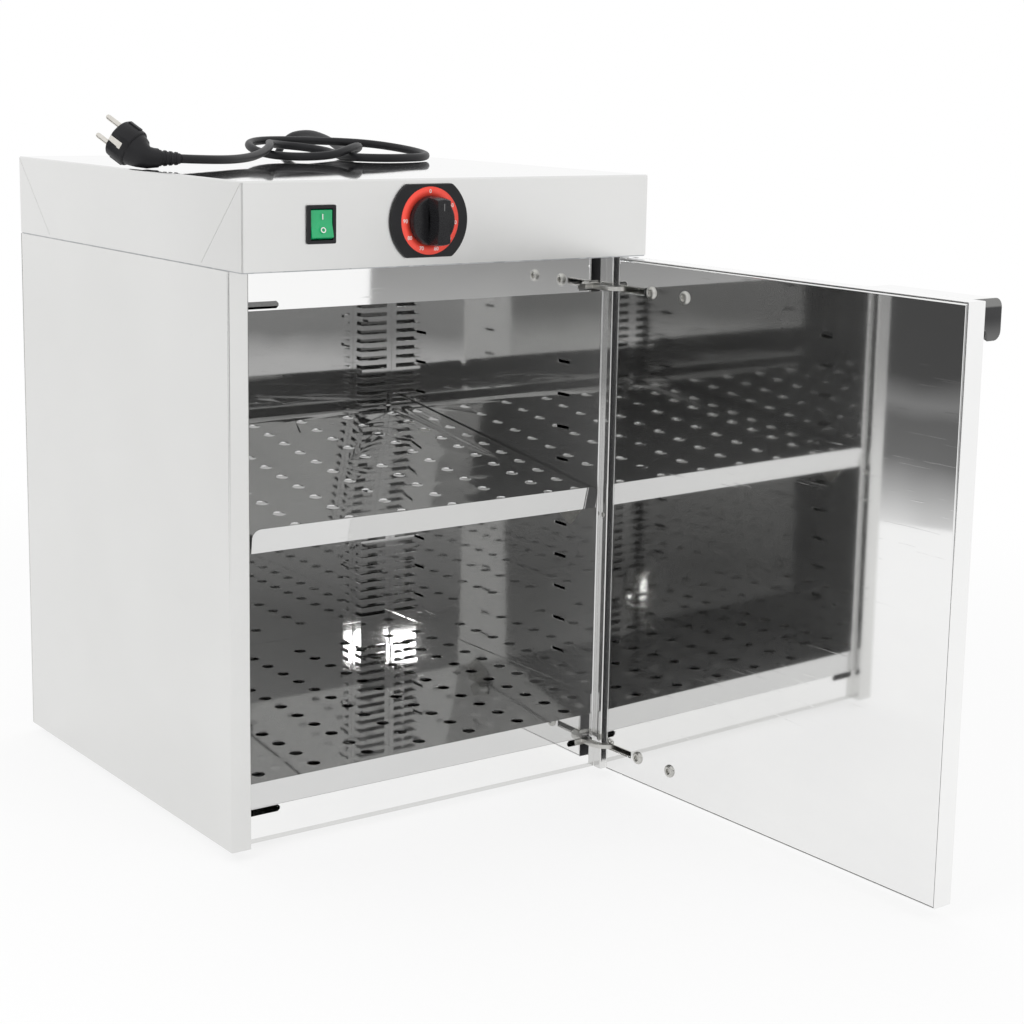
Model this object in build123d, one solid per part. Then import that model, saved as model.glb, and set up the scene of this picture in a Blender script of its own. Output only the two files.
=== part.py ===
from build123d import *
import math
import os

# Plate warmer cabinet, in millimetres. +X is to the right of someone facing the door side,
# +Y runs to the back and +Z is up. The origin is the middle of the footprint, on the table.
# The door is modelled standing open, the shelf hangs one slot higher at the back.

# ---- driving dimensions: cabinet body ----
SHEET = 1.0
BEND = 1.6
HOOD_CORNER = 1.2
WIDTH = 416.0
DEPTH = 428.0
BODY_HEIGHT = 496.0
FOOT_HEIGHT = 8.0
FLANGE = 19.0
RETURN = 10.0
BACK_FLANGE = 16.0
WALL_SETBACK = 4.0
BACK_CAVITY = 34.0
TOP_RAIL_HEIGHT = 34.5
BOTTOM_RAIL_LIFT = 4.5
SEAM_HEIGHT = 31.5
FLOOR_HEIGHT = 54.0
CEILING_LIFT = 11.5
RAIL_RETURN = 10.0
LEDGE = 12.0
SEAT_GAP = 0.2

# ---- driving dimensions: hood ----
HOOD_HEIGHT = 74.0
HOOD_OVERHANG = 24.0
HOOD_INSET = 0.8
HOOD_RETURN = 12.0
SEAM_CUT = 0.4

# ---- driving dimensions: perforation, shelf and its clips ----
HOLE_DIAMETER = 12.0
HOLE_SIDES = 6
HOLE_PITCH_X = 55.4
HOLE_PITCH_Y = 31.6
HOLE_COLUMNS = 7
HOLE_ROWS = 11
FIRST_ROW = 20.0
SHELF_LIP = 20.0
SHELF_SIDE = 15.0
SHELF_REAR = 10.0
SHELF_PLAY = 2.0
SHELF_BACK_GAP = 3.0
LIP_RADIUS = 8.0
SLOT_PITCH = 31.6
SLOT_COUNT = 10
SLOT_LENGTH = 19.0
SLOT_HEIGHT = 2.8
LOWEST_SLOT = 50.0
FRONT_COLUMN = 57.0
BACK_COLUMN = 307.5
FRONT_CLIP_SLOT = 5
CLIP_THICKNESS = 1.5
CLIP_LEDGE = 12.0
CLIP_DROP = 30.0
CLIP_FRONT = 32.0
CLIP_POINT = 16.0
CLIP_BACK = 14.0
CLIP_CHEEK = 12.0
CLIP_HOOK = 5.0
CLIP_FIT = 0.1

# ---- driving dimensions: air ducts in the rear corners ----
DUCT_WIDTH = 37.0
DUCT_DEPTH = 19.0
DUCT_PITCH = 9.4
DUCT_SLOT = 4.0
DUCT_SLOT_FRONT = 31.0
DUCT_SLOT_SIDE = 12.0
DUCT_FIRST = 17.0
DUCT_LAST = 8.0

# ---- driving dimensions: door and hinges ----
DOOR_THICKNESS = 21.0
DOOR_GAP = 1.0
DOOR_TOP_GAP = 2.0
DOOR_BOTTOM_GAP = 4.0
DOOR_FREE_GAP = 3.0
PAN_GAP = 0.2
PAN_FLANGE = 12.0
PAN_SETBACK = 0.6
OPEN_ANGLE = 91.7
PIVOT_FROM_EDGE = 6.0
PIVOT_FROM_INNER = 15.3
ARM_THICKNESS = 4.0
ARM_WIDTH = 7.0
ARM_CURVE = 14.0
ARM_ROOT_LENGTH = 22.0
ARM_ROOT_WIDTH = 18.0
ARM_SIDE_GAP = 4.5
EYE_RADIUS = 4.5
PIN_RADIUS = 1.9
PIN_FIT = 0.05
HINGE_SLOT = 6.4
RAIL_SLOT = 6.0
RAIL_SLOT_NEAR = 22.0
RAIL_SLOT_FAR = 52.0
SLOT_RIM = 1.5
DOOR_SLOT_LENGTH = 37.0
DOOR_SLOT_DEPTH = 12.5
FORK_THICKNESS = 2.0
FORK_PLAY = 0.25
LEAF_THICKNESS = 2.5
LEAF_HEIGHT = 22.0
LEAF_START = 37.0
LEAF_LENGTH = 65.0
BRACKET_THICKNESS = 2.0
BRACKET_WEB = 13.5
DOOR_SCREWS = (47.0, 92.0)
SCREW_HEAD = 6.0
SCREW_HEAD_HEIGHT = 2.6
SCREW_CROWN = 3.6
ROUND_SIDES = 12
TOP_RETURN_HOLE = 3.0
RIVET_HEAD = 2.5
RIVET_HEAD_HEIGHT = 0.9
RIVET_RISE = 249.6
RIVET_FROM_FLANGE = 6.0

# ---- driving dimensions: handle ----
HANDLE_WIDTH = 110.0
HANDLE_INSET = 15.0
HANDLE_REACH = 37.0
HANDLE_TOP_DROP = 0.5
HANDLE_LIP = 34.0
HANDLE_ROOT = 25.0
HANDLE_WALL = 2.0
HANDLE_CORNER = 9.0
HANDLE_ARCH = 10.0
HANDLE_ARCH_REACH = 16.5
HANDLE_ARCH_DROP = 27.0
HANDLE_SLOT = 15.0

# ---- driving dimensions: controls ----
KNOB_X = -31.0
KNOB_RISE = 38.5
KNOB_DIAMETER = 42.0
KNOB_BASE = 7.0
KNOB_HEIGHT = 25.0
KNOB_GRIP = 13.0
KNOB_EDGE = 1.5
KNOB_SIDES = 36
KNOB_GRIP_INSET = 1.0
SHAFT_RADIUS = 3.0
SHAFT_FIT = 0.05
SHAFT_CLEAR = 1.0
DIAL_DIAMETER = 77.0
DIAL_HEIGHT = 62.0
DIAL_THICKNESS = 3.0
DIAL_GAP = 0.4
THERMOSTAT_SIZE = (40.0, 34.0, 36.0)
THERMOSTAT_CORNER = 3.0
SWITCH_X = -135.5
SWITCH_RISE = 38.0
SWITCH_WIDTH = 26.8
SWITCH_HEIGHT = 31.7
SWITCH_BEZEL = 2.2
SWITCH_DEPTH = 22.0
SWITCH_WALL = 1.5
ROCKER_PLAY = 0.3
ROCKER_TILT = 7.0
ROCKER_AXIS_DEPTH = 3.0
ROCKER_CREST = 6.0
TRUNNION_RADIUS = 1.5
TRUNNION_LENGTH = 0.8
TAB_WIDTH = 4.8
TAB_LENGTH = 8.0
TAB_THICKNESS = 0.8
TAB_PITCH = 8.0

# ---- driving dimensions: heating and wiring ----
ELEMENT_RADIUS = 4.0
ELEMENT_HALF_SPAN = 90.0
ELEMENT_LIFT = 26.0
ELEMENT_FRONT = 70.0
ELEMENT_BACK = 30.0
ELEMENT_BEND = 40.0
ELEMENT_TERMINAL = 6.0
SADDLE_WIDTH = 20.0
SADDLE_INSET = 90.0
TERMINAL_SIZE = (48.0, 22.0, 18.0)
TERMINAL_WELL = 6.0

# ---- driving dimensions: feet ----
FOOT_RADIUS = 15.0
FOOT_INSET = 48.0
FOOT_DRAFT = 2.0

# ---- driving dimensions: mains lead ----
CORD_RADIUS = 4.0
TUBE_SIDES = 8
HEX_SIDES = 6
TURN_SHARE = 0.45
GLAND_X = 130.0
GLAND_DROP = 14.0
GLAND_RADIUS = 8.0
GLAND_FIT = 0.2
GLAND_HEX = 6.0
GLAND_HALF = 11.5
GLAND_CAP_HALF = 10.0
GLAND_CAP_END = 7.2
GLAND_NUT_HALF = 11.0
GLAND_CAP = 12.0
NUT_HEIGHT = 6.0
GUARD_RADIUS = 7.0
GUARD_WALL = 1.0
COIL_LENGTH = 200.0
COIL_WIDTH = 110.0
COIL_STRAND = 33.0
COIL_HEIGHT = 22.0
COIL_REST = 0.3
COIL_X = 75.0
COIL_Y = 85.0

# The route of the lead from its guard to the coil, and from the coil to the plug.
LEAD_ROUTE = [
    (130, 254, 490),
    (130, 305, 490),
    (130, 333, 539),
    (130, 305, 588),
    (127, 250, 588),
    (120, 190, 588),
    (114, 128, 585),
]
TAIL_ROUTE = [
    (-166, -46, 586.8),
    (-126, -40, 584.8),
    (-84, -8, 584.4),
    (-47, 38, 588.6),
    (-12, 70, 590.5),
]

# ---- driving dimensions: plug ----
PLUG_FACE = (-213.0, -22.0, 604.6)
PLUG_AXIS = (-0.49, 0.684, 0.54)
PLUG_RADIUS = 17.5
PLUG_NOSE = 18.0
PLUG_FLAT = 15.5
PLUG_WAIST_RADIUS = 9.6
PLUG_WAIST = 13.0
PLUG_NECK_RADIUS = 7.5
PLUG_GUARD = 16.0
PLUG_GUARD_RADIUS = 5.5
PLUG_PIN_RADIUS = 2.4
PLUG_PIN_LENGTH = 19.0
PLUG_PIN_TIP = 1.2
PLUG_PIN_SPACING = 19.0
EARTH_STRIP = (1.0, 6.0, 13.0)

# ---- places worked out from the sizes above ----
LEFT, RIGHT = -WIDTH / 2, WIDTH / 2
FRONT, BACK = -DEPTH / 2, DEPTH / 2
BASE_Z = FOOT_HEIGHT
BODY_TOP = BASE_Z + BODY_HEIGHT
HOOD_TOP = BODY_TOP + HOOD_HEIGHT
HOOD_FRONT = FRONT - HOOD_OVERHANG
RAIL_FACE = FRONT + RETURN
OPENING_HALF = RIGHT - FLANGE
WALL_X = OPENING_HALF - WALL_SETBACK
CAVITY_HALF = RIGHT - SHEET - SEAT_GAP
INNER_BACK = BACK - BACK_CAVITY
TOP_RAIL_BOTTOM = BODY_TOP - TOP_RAIL_HEIGHT
SEAM_Z = BASE_Z + SEAM_HEIGHT
FLOOR_Z = BASE_Z + FLOOR_HEIGHT
CEILING_Z = TOP_RAIL_BOTTOM + CEILING_LIFT
PAN_FLOOR = BASE_Z + SHEET
TRAY_TOP = BODY_TOP + SHEET

TOP_HINGE_Z = TOP_RAIL_BOTTOM + SLOT_RIM + RAIL_SLOT / 2
BOTTOM_HINGE_Z = SEAM_Z - SLOT_RIM / 3 - RAIL_SLOT / 2
SLOT_MIDDLE = RIGHT - (RAIL_SLOT_NEAR + RAIL_SLOT_FAR) / 2
SLOT_SPAN = RAIL_SLOT_FAR - RAIL_SLOT_NEAR
PIVOT_X = RIGHT - PIVOT_FROM_EDGE
DOOR_INNER = FRONT - DOOR_GAP
DOOR_OUTER = DOOR_INNER - DOOR_THICKNESS
PIVOT_Y = DOOR_INNER - PIVOT_FROM_INNER
ARM_X = RIGHT - RAIL_SLOT_NEAR - ARM_SIDE_GAP - ARM_WIDTH / 2
DOOR_BOTTOM = BASE_Z + DOOR_BOTTOM_GAP
DOOR_TOP = BODY_TOP - DOOR_TOP_GAP
DOOR_FREE = LEFT + DOOR_FREE_GAP
DOOR_HEIGHT = DOOR_TOP - DOOR_BOTTOM
HINGE_AXIS = Axis((PIVOT_X, PIVOT_Y, 0), (0, 0, 1))

KNOB_Z = BODY_TOP + KNOB_RISE
SWITCH_Z = BODY_TOP + SWITCH_RISE
SHELF_DEPTH = INNER_BACK - DUCT_DEPTH - SHELF_BACK_GAP - RAIL_FACE + SHEET
SHELF_HALF = WALL_X - SHELF_PLAY
SHELF_SLOPE = math.degrees(math.atan(SLOT_PITCH / (BACK_COLUMN - FRONT_COLUMN)))


def block(x0, x1, y0, y1, z0, z1):
    """A box between two corners."""
    corner = Pos(min(x0, x1), min(y0, y1), min(z0, z1))
    return corner * Box(abs(x1 - x0), abs(y1 - y0), abs(z1 - z0), align=(Align.MIN,) * 3)


def folded(points, height, plane=Plane.XY, side=Side.LEFT):
    """Sheet bent along the points, which lie on its outer face, and drawn out by height."""
    path = FilletPolyline(*points, radius=BEND)
    return extrude(plane * make_face(offset(path, amount=SHEET, side=side)), amount=height)


def rod(x, y, z, radius, length, direction):
    """A round bar that starts at a point and runs along a direction."""
    where = Plane(origin=(x, y, z), z_dir=direction)
    return extrude(where * Circle(radius), amount=length)


def flatted(radius, sides=TUBE_SIDES):
    """Section with flat sides, a diameter apart, for a tube, a bar or the hole round a pin."""
    return RegularPolygon(radius, sides, major_radius=False)


def bored(x, y, z, radius, length, direction):
    """Cutter for a hole that clears a round pin, started at a point and run along a direction."""
    where = Plane(origin=(x, y, z), z_dir=direction)
    return extrude(where * flatted(radius), amount=length)


def ring_of_corners(where, half, sides):
    """Corners of the section that flatted gives, on a plane."""
    turn = 2 * math.pi / sides
    reach = half / math.cos(turn / 2)
    return [
        where.from_local_coords((reach * math.cos(step * turn), reach * math.sin(step * turn), 0))
        for step in range(sides)
    ]


def tapered(where, start, end, length, sides=TUBE_SIDES):
    """Flat-sided bar that tapers from one half width to another, from a plane along its normal."""
    low = ring_of_corners(where, start, sides)
    high = ring_of_corners(where.offset(length), end, sides)
    walls = [
        Face(Wire.make_polygon([low[step - 1], low[step], high[step], high[step - 1]]))
        for step in range(sides)
    ]
    caps = [Face(Wire.make_polygon(low)), Face(Wire.make_polygon(high))]
    return Part() + Solid(Shell(walls + caps))


def mirrored(part):
    """The left-hand twin of a right-hand part."""
    return mirror(part, about=Plane.YZ)


def rail_slots(z):
    """Cutters for the hinge slots at both ends of a rail, so the door can be rehung."""
    shape = Rectangle(SLOT_SPAN, RAIL_SLOT)
    shape = chamfer(shape.vertices(), RAIL_SLOT / 3)
    cutter = Pos(SLOT_MIDDLE, RAIL_FACE + 2 * SHEET, z) * extrude(Plane.XZ * shape, amount=3 * SHEET)
    return cutter + mirrored(cutter)


def wall_slots():
    """Cutters for the two columns of shelf slots in the right-hand wall."""
    cuts = Part()
    for column in (FRONT_COLUMN, BACK_COLUMN):
        y = RAIL_FACE + column
        for step in range(SLOT_COUNT):
            z = FLOOR_Z + LOWEST_SLOT + step * SLOT_PITCH
            cuts += block(
                WALL_X - SHEET, WALL_X + 2 * SHEET,
                y - SLOT_LENGTH / 2, y + SLOT_LENGTH / 2,
                z - SLOT_HEIGHT / 2, z + SLOT_HEIGHT / 2,
            )
    return cuts


# ---- cabinet body ----
def side_panel():
    """Right-hand outer panel with its front flange, the return beside the door and a back flange."""
    path = [
        (OPENING_HALF, RAIL_FACE),
        (OPENING_HALF, FRONT),
        (RIGHT, FRONT),
        (RIGHT, BACK - SHEET),
        (RIGHT - BACK_FLANGE, BACK - SHEET),
    ]
    return Pos(0, 0, BASE_Z) * folded(path, BODY_HEIGHT)


def rivet_place():
    return (FRONT + RIVET_FROM_FLANGE, BASE_Z + RIVET_RISE)


def back_panel():
    """Flat outer back with the hole for the cable gland."""
    plate = block(LEFT, RIGHT, BACK - SHEET, BACK, BASE_Z, BODY_TOP)
    hole = extrude(gland_plane(BACK) * flatted(GLAND_RADIUS + GLAND_FIT), amount=-SHEET)
    return plate - hole


def gland_plane(y):
    """Plane across the gland, at a depth y, its normal to the back."""
    return Plane(origin=(GLAND_X, y, gland_z()), x_dir=(1, 0, 0), z_dir=(0, 1, 0))


def gland_z():
    return BODY_TOP - GLAND_DROP


def base_pan():
    """Bottom tray that closes the body and carries the feet and the heating element."""
    half = CAVITY_HALF
    front, back = RAIL_FACE + SHEET, BACK - 2 * SHEET - SEAT_GAP
    pan = block(-half, half, front, back, BASE_Z, BASE_Z + LEDGE)
    pan -= block(
        -half + SHEET, half - SHEET, front + SHEET, back - SHEET, PAN_FLOOR, BODY_TOP
    )
    return pan


def top_rail():
    """Upper cross member with a return along both edges and a hinge slot at each end."""
    face = block(-CAVITY_HALF, CAVITY_HALF, RAIL_FACE, RAIL_FACE + SHEET, TOP_RAIL_BOTTOM, BODY_TOP)
    inner = WALL_X - SEAT_GAP
    back = RAIL_FACE + RAIL_RETURN
    upper = block(-CAVITY_HALF, CAVITY_HALF, RAIL_FACE, back, BODY_TOP - SHEET, BODY_TOP)
    lower = block(-inner, inner, RAIL_FACE, back, TOP_RAIL_BOTTOM, TOP_RAIL_BOTTOM + SHEET)
    return face + upper + lower - rail_slots(TOP_HINGE_Z)


def bottom_rail():
    """Lower cross member, with the return that the floor plate's flange stands on."""
    bottom = BASE_Z + BOTTOM_RAIL_LIFT
    face = block(-CAVITY_HALF, CAVITY_HALF, RAIL_FACE, RAIL_FACE + SHEET, bottom, SEAM_Z)
    inner = WALL_X - SEAT_GAP
    upper = block(-inner, inner, RAIL_FACE, RAIL_FACE + RAIL_RETURN, SEAM_Z - SHEET / 2, SEAM_Z)
    return face + upper - rail_slots(BOTTOM_HINGE_Z)


def inner_wall():
    """Right-hand inner wall: a front flange beside the door opening and two slot columns."""
    path = [
        (CAVITY_HALF, RAIL_FACE),
        (WALL_X, RAIL_FACE),
        (WALL_X, INNER_BACK),
    ]
    lower = PAN_FLOOR + LEDGE + SHEET
    wall = Pos(0, 0, lower) * folded(path, CEILING_Z - lower, side=Side.RIGHT)
    # The flange stops at the rails, whose faces take its plane.
    for z0, z1 in ((lower, SEAM_Z + SEAT_GAP), (TOP_RAIL_BOTTOM - SEAT_GAP, CEILING_Z)):
        wall -= block(WALL_X - SHEET, RIGHT, RAIL_FACE, RAIL_FACE + BEND + SHEET, z0, z1)
    # The floor plate's front flange runs across the same plane.
    return wall - wall_slots()


def inner_back():
    """Back wall of the warm space, with a ledge along its foot for the floor plate."""
    top = CEILING_Z
    half = WALL_X + SHEET
    wall = block(-half, half, INNER_BACK, INNER_BACK + SHEET, FLOOR_Z - 2 * SHEET, top)
    ledge = block(
        -WALL_X + SHEET, WALL_X - SHEET, INNER_BACK - LEDGE, INNER_BACK,
        FLOOR_Z - 2 * SHEET, FLOOR_Z - SHEET,
    )
    return wall + ledge


def inner_ceiling():
    """Ceiling of the warm space, laid on the walls, with a stiffening fold at the front."""
    front = RAIL_FACE + 3 * SHEET + SEAT_GAP
    plate = block(-CAVITY_HALF, CAVITY_HALF, front, INNER_BACK + SHEET, CEILING_Z, CEILING_Z + SHEET)
    fold = block(-CAVITY_HALF, CAVITY_HALF, front, front + SHEET, CEILING_Z, CEILING_Z + RAIL_RETURN)
    return plate + fold


def perforated(half_width, depth, rows, first_row):
    """Flat sheet with the regular pattern of round holes, front edge on the X axis."""
    sheet = Pos(0, depth / 2) * Rectangle(2 * half_width, depth)
    hole = RegularPolygon(HOLE_DIAMETER / 2, HOLE_SIDES)
    middle = (HOLE_COLUMNS - 1) / 2
    spots = [
        Pos((column - middle) * HOLE_PITCH_X, first_row + row * HOLE_PITCH_Y)
        for column in range(HOLE_COLUMNS)
        for row in range(rows)
    ]
    return extrude(sheet - [spot * hole for spot in spots], amount=SHEET)


def floor_plate():
    """Perforated floor over the heating element, its front flange down and its sides up."""
    half = WALL_X - SEAT_GAP
    depth = INNER_BACK - RAIL_FACE - SEAT_GAP
    plate = perforated(half, depth, HOLE_ROWS, FIRST_ROW)
    plate += block(-half, half, 0, SHEET, SHEET, SEAM_Z + SEAT_GAP - FLOOR_Z + SHEET)
    duct_clear = depth - DUCT_DEPTH - SHEET
    for side in (-1, 1):
        plate += block(side * half, side * (half - SHEET), SHEET, duct_clear, 0, SHELF_LIP)
    return Pos(0, RAIL_FACE, FLOOR_Z - SHEET) * plate


def duct():
    """Right-hand corner duct: an angle whose air slots wrap round its corner."""
    left = WALL_X - DUCT_WIDTH
    front = INNER_BACK - DUCT_DEPTH
    path = [(WALL_X, front), (left, front), (left, INNER_BACK)]
    height = CEILING_Z - FLOOR_Z
    corner = offset(Polyline(*path), amount=SHEET, side=Side.RIGHT, kind=Kind.INTERSECTION)
    angle = Pos(0, 0, FLOOR_Z) * extrude(make_face(corner), amount=height)
    count = int((height - DUCT_FIRST - DUCT_LAST) / DUCT_PITCH) + 1
    cuts = Part()
    for step in range(count):
        z = FLOOR_Z + DUCT_FIRST + step * DUCT_PITCH
        cuts += block(
            left - SHEET, left + DUCT_SLOT_FRONT, front - SHEET, front + DUCT_SLOT_SIDE,
            z, z + DUCT_SLOT,
        )
    return angle - cuts


# ---- shelf ----
def clip_slot_z(step):
    return FLOOR_Z + LOWEST_SLOT + step * SLOT_PITCH


def clip(column, step):
    """Right-hand shelf clip: a ledge hooked through a wall slot, with a pointed plate below it."""
    y = RAIL_FACE + column
    z = clip_slot_z(step)
    half = SLOT_LENGTH / 2 - CLIP_FIT
    thick = CLIP_THICKNESS / 2
    behind = WALL_X + SHEET + CLIP_FIT
    ledge = block(WALL_X - CLIP_LEDGE, behind + CLIP_THICKNESS, y - half, y + half, z - thick, z + thick)
    hook = block(behind, behind + CLIP_THICKNESS, y - half, y + half, z - thick, z - CLIP_HOOK)
    outline = Polyline(
        (y - CLIP_FRONT, z),
        (y - CLIP_FRONT, z - CLIP_CHEEK),
        (y - CLIP_POINT, z - CLIP_DROP),
        (y + CLIP_BACK, z - CLIP_CHEEK),
        (y + CLIP_BACK, z),
        close=True,
    )
    face = WALL_X - CLIP_FIT
    plate = extrude(Plane.YZ * make_face(outline), amount=CLIP_THICKNESS)
    return ledge + hook + Pos(face - CLIP_THICKNESS, 0, 0) * plate


def shelf_clips():
    """Four clips: the back pair hangs one slot higher than the front pair."""
    front = clip(FRONT_COLUMN, FRONT_CLIP_SLOT)
    back = clip(BACK_COLUMN, FRONT_CLIP_SLOT + 1)
    return Compound([front, back, mirrored(front), mirrored(back)])


def shelf():
    """Perforated shelf: a lip across the front, sides up and the rear edge down, on its clips."""
    half = SHELF_HALF
    depth = SHELF_DEPTH
    tray = perforated(half, depth, HOLE_ROWS, FIRST_ROW)
    lip = block(-half, half, 0, SHEET, 0, SHELF_LIP + SHEET)
    lip = fillet(lip.edges().filter_by(Axis.Y).group_by(Axis.Z)[-1], LIP_RADIUS)
    tray += lip
    for side in (-1, 1):
        tray += block(side * half, side * (half - SHEET), BEND, depth, 0, SHELF_SIDE + SHEET)
    tray += block(-half + SHEET, half - SHEET, depth - SHEET, depth, SHEET, -SHELF_REAR)
    # The sheet bears on the front edges of the clip ledges.
    bearing = FRONT_COLUMN - SLOT_LENGTH / 2
    seat = Pos(0, RAIL_FACE - SHEET, 0) * tray
    line = Axis((0, RAIL_FACE + bearing, 0), (1, 0, 0))
    tilted = seat.rotate(line, SHELF_SLOPE)
    return Pos(0, 0, clip_slot_z(FRONT_CLIP_SLOT) + CLIP_THICKNESS / 2 + CLIP_FIT) * tilted


def return_rivets():
    """One small rivet in the return on each side of the door opening."""
    seat = Plane(origin=(OPENING_HALF, *rivet_place()), z_dir=(-1, 0, 0))
    right = extrude(seat * flatted(RIVET_HEAD, ROUND_SIDES), amount=RIVET_HEAD_HEIGHT)
    return Compound([right, mirrored(right)])


# ---- hood ----
def hood_cover():
    """Cover folded from one sheet, with 45 degree seams where its side flanges meet the end tabs."""
    low = TRAY_TOP
    cover = block(LEFT, RIGHT, HOOD_FRONT, BACK, low, HOOD_TOP)
    cover = chamfer(cover.edges().filter_by(Axis.Z), HOOD_CORNER)
    cover = fillet(cover.edges().group_by(Axis.Z)[-1], BEND)
    cover -= block(
        LEFT + SHEET, RIGHT - SHEET, HOOD_FRONT + SHEET, BACK - SHEET, low, HOOD_TOP - SHEET
    )
    cover += block(
        LEFT + BEND, RIGHT - BEND, HOOD_FRONT + SHEET / 2, HOOD_FRONT + HOOD_RETURN, low, low + SHEET
    )
    rise = HOOD_HEIGHT - 3 * BEND
    slit = block(LEFT, LEFT + SHEET / 2, 0, SEAM_CUT, 0, -rise * math.sqrt(2))
    for y, turn in ((HOOD_FRONT + BEND, 45), (BACK - BEND, -45)):
        seam = Pos(0, y, HOOD_TOP - BEND) * Rot(turn, 0, 0) * slit
        cover -= seam + mirrored(seam)
    cover -= bored(KNOB_X, HOOD_FRONT - SHEET, KNOB_Z, SHAFT_RADIUS + SHAFT_CLEAR, 3 * SHEET, (0, 1, 0))
    return cover - switch_block(SWITCH_WALL + ROCKER_PLAY, HOOD_FRONT + 2 * SHEET)


def hood_tray():
    """Flat tray between the body and the hood, which carries the electrical parts."""
    half = RIGHT - HOOD_INSET
    tray = block(-half, half, HOOD_FRONT + HOOD_INSET, BACK - HOOD_INSET, BODY_TOP, TRAY_TOP)
    return fillet(tray.edges().filter_by(Axis.Z), BEND)


# ---- door, drawn shut and then swung open ----
def swing(part):
    return part.rotate(HINGE_AXIS, OPEN_ANGLE)


def hinge_notch(z):
    """Cutter for the slot that the hinge arm sweeps through, open to the door's hinge edge."""
    return block(
        RIGHT - DOOR_SLOT_LENGTH, RIGHT + SHEET, DOOR_INNER + SHEET, DOOR_INNER - DOOR_SLOT_DEPTH,
        z - HINGE_SLOT / 2, z + HINGE_SLOT / 2,
    )


def pan(x0, x1, y_face, y_open, z0, z1):
    """Shallow folded pan, open on one side."""
    body = block(x0, x1, y_face, y_open, z0, z1)
    step = SHEET if y_open > y_face else -SHEET
    shut = body.faces().sort_by(Axis.Y)[0 if step > 0 else -1]
    body = fillet(shut.edges(), BEND)
    return body - block(
        x0 + SHEET, x1 - SHEET, y_face + step, y_open + step, z0 + SHEET, z1 - SHEET
    )


def door_outer_pan():
    """Outer skin of the door with its four returns."""
    skin = pan(DOOR_FREE, RIGHT, DOOR_OUTER, DOOR_INNER - PAN_SETBACK, DOOR_BOTTOM, DOOR_TOP)
    for z in (TOP_HINGE_Z, BOTTOM_HINGE_Z):
        skin -= hinge_notch(z)
    drill = rod(PIVOT_X, PIVOT_Y, DOOR_TOP - 2 * SHEET, TOP_RETURN_HOLE, 3 * SHEET, (0, 0, 1))
    skin -= drill
    return swing(skin)


def door_inner_pan():
    """Inner skin, nested in the outer pan, with the hinge slots and the screw holes."""
    inset = SHEET + PAN_GAP
    skin = pan(
        DOOR_FREE + inset, RIGHT - inset, DOOR_INNER, DOOR_INNER - PAN_FLANGE,
        DOOR_BOTTOM + inset, DOOR_TOP - inset,
    )
    for z in (TOP_HINGE_Z, BOTTOM_HINGE_Z):
        skin -= hinge_notch(z)
    return swing(skin)


def door_hinge(z):
    """Hinge leaf inside the door, with two fork lugs that hold the pivot pin."""
    seat = DOOR_INNER - SHEET
    near = RIGHT - LEAF_START
    leaf = block(
        near - LEAF_LENGTH, near, seat, seat - LEAF_THICKNESS, z - LEAF_HEIGHT / 2, z + LEAF_HEIGHT / 2
    )
    tip = RIGHT - 2 * SHEET - PAN_GAP - SEAT_GAP
    outline = Polyline(
        (near - LEAF_LENGTH / 2, seat),
        (tip, seat),
        (tip, PIVOT_Y - EYE_RADIUS + SHEET),
        (near - LEAF_LENGTH / 4, PIVOT_Y - EYE_RADIUS + SHEET),
        close=True,
    )
    lug = extrude(make_face(outline), amount=FORK_THICKNESS)
    lug -= bored(PIVOT_X, PIVOT_Y, 0, PIN_RADIUS, FORK_THICKNESS, (0, 0, 1))
    clear = ARM_THICKNESS / 2 + FORK_PLAY
    leaf += Pos(0, 0, z + clear) * lug
    leaf += Pos(0, 0, z - clear - FORK_THICKNESS) * lug
    return swing(leaf)


def hinge_pins():
    """Two pivot pins, each fixed in its fork and turning in the arm's eye."""
    reach = ARM_THICKNESS / 2 + FORK_PLAY + FORK_THICKNESS
    pins = []
    for z in (TOP_HINGE_Z, BOTTOM_HINGE_Z):
        pin = rod(PIVOT_X, PIVOT_Y, z - reach, PIN_RADIUS, 2 * reach, (0, 0, 1))
        pins.append(swing(pin))
    return Compound(pins)


def hinge_arm(z):
    """Flat gooseneck arm: a root behind the rail, a quarter bend and the pivot eye."""
    bend_y = PIVOT_Y + ARM_CURVE
    run = Line((ARM_X, RAIL_FACE + 2 * SHEET), (ARM_X, bend_y))
    turn = RadiusArc((ARM_X, bend_y), (ARM_X + ARM_CURVE, PIVOT_Y), -ARM_CURVE)
    tip = Line((ARM_X + ARM_CURVE, PIVOT_Y), (PIVOT_X, PIVOT_Y))
    bar = trace(Wire([run, turn, tip]), ARM_WIDTH)
    root = Pos(
        RIGHT - FLANGE - ARM_ROOT_WIDTH / 2 - WALL_SETBACK - SHEET,
        RAIL_FACE + SHEET + SEAT_GAP + ARM_ROOT_LENGTH / 2,
    ) * Rectangle(ARM_ROOT_WIDTH, ARM_ROOT_LENGTH)
    eye = Pos(PIVOT_X, PIVOT_Y) * flatted(EYE_RADIUS, ROUND_SIDES)
    hole = Pos(PIVOT_X, PIVOT_Y) * flatted(PIN_RADIUS + PIN_FIT)
    flat = (bar + root + eye) - hole
    return Pos(0, 0, z - ARM_THICKNESS / 2) * extrude(flat, amount=ARM_THICKNESS)


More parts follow.
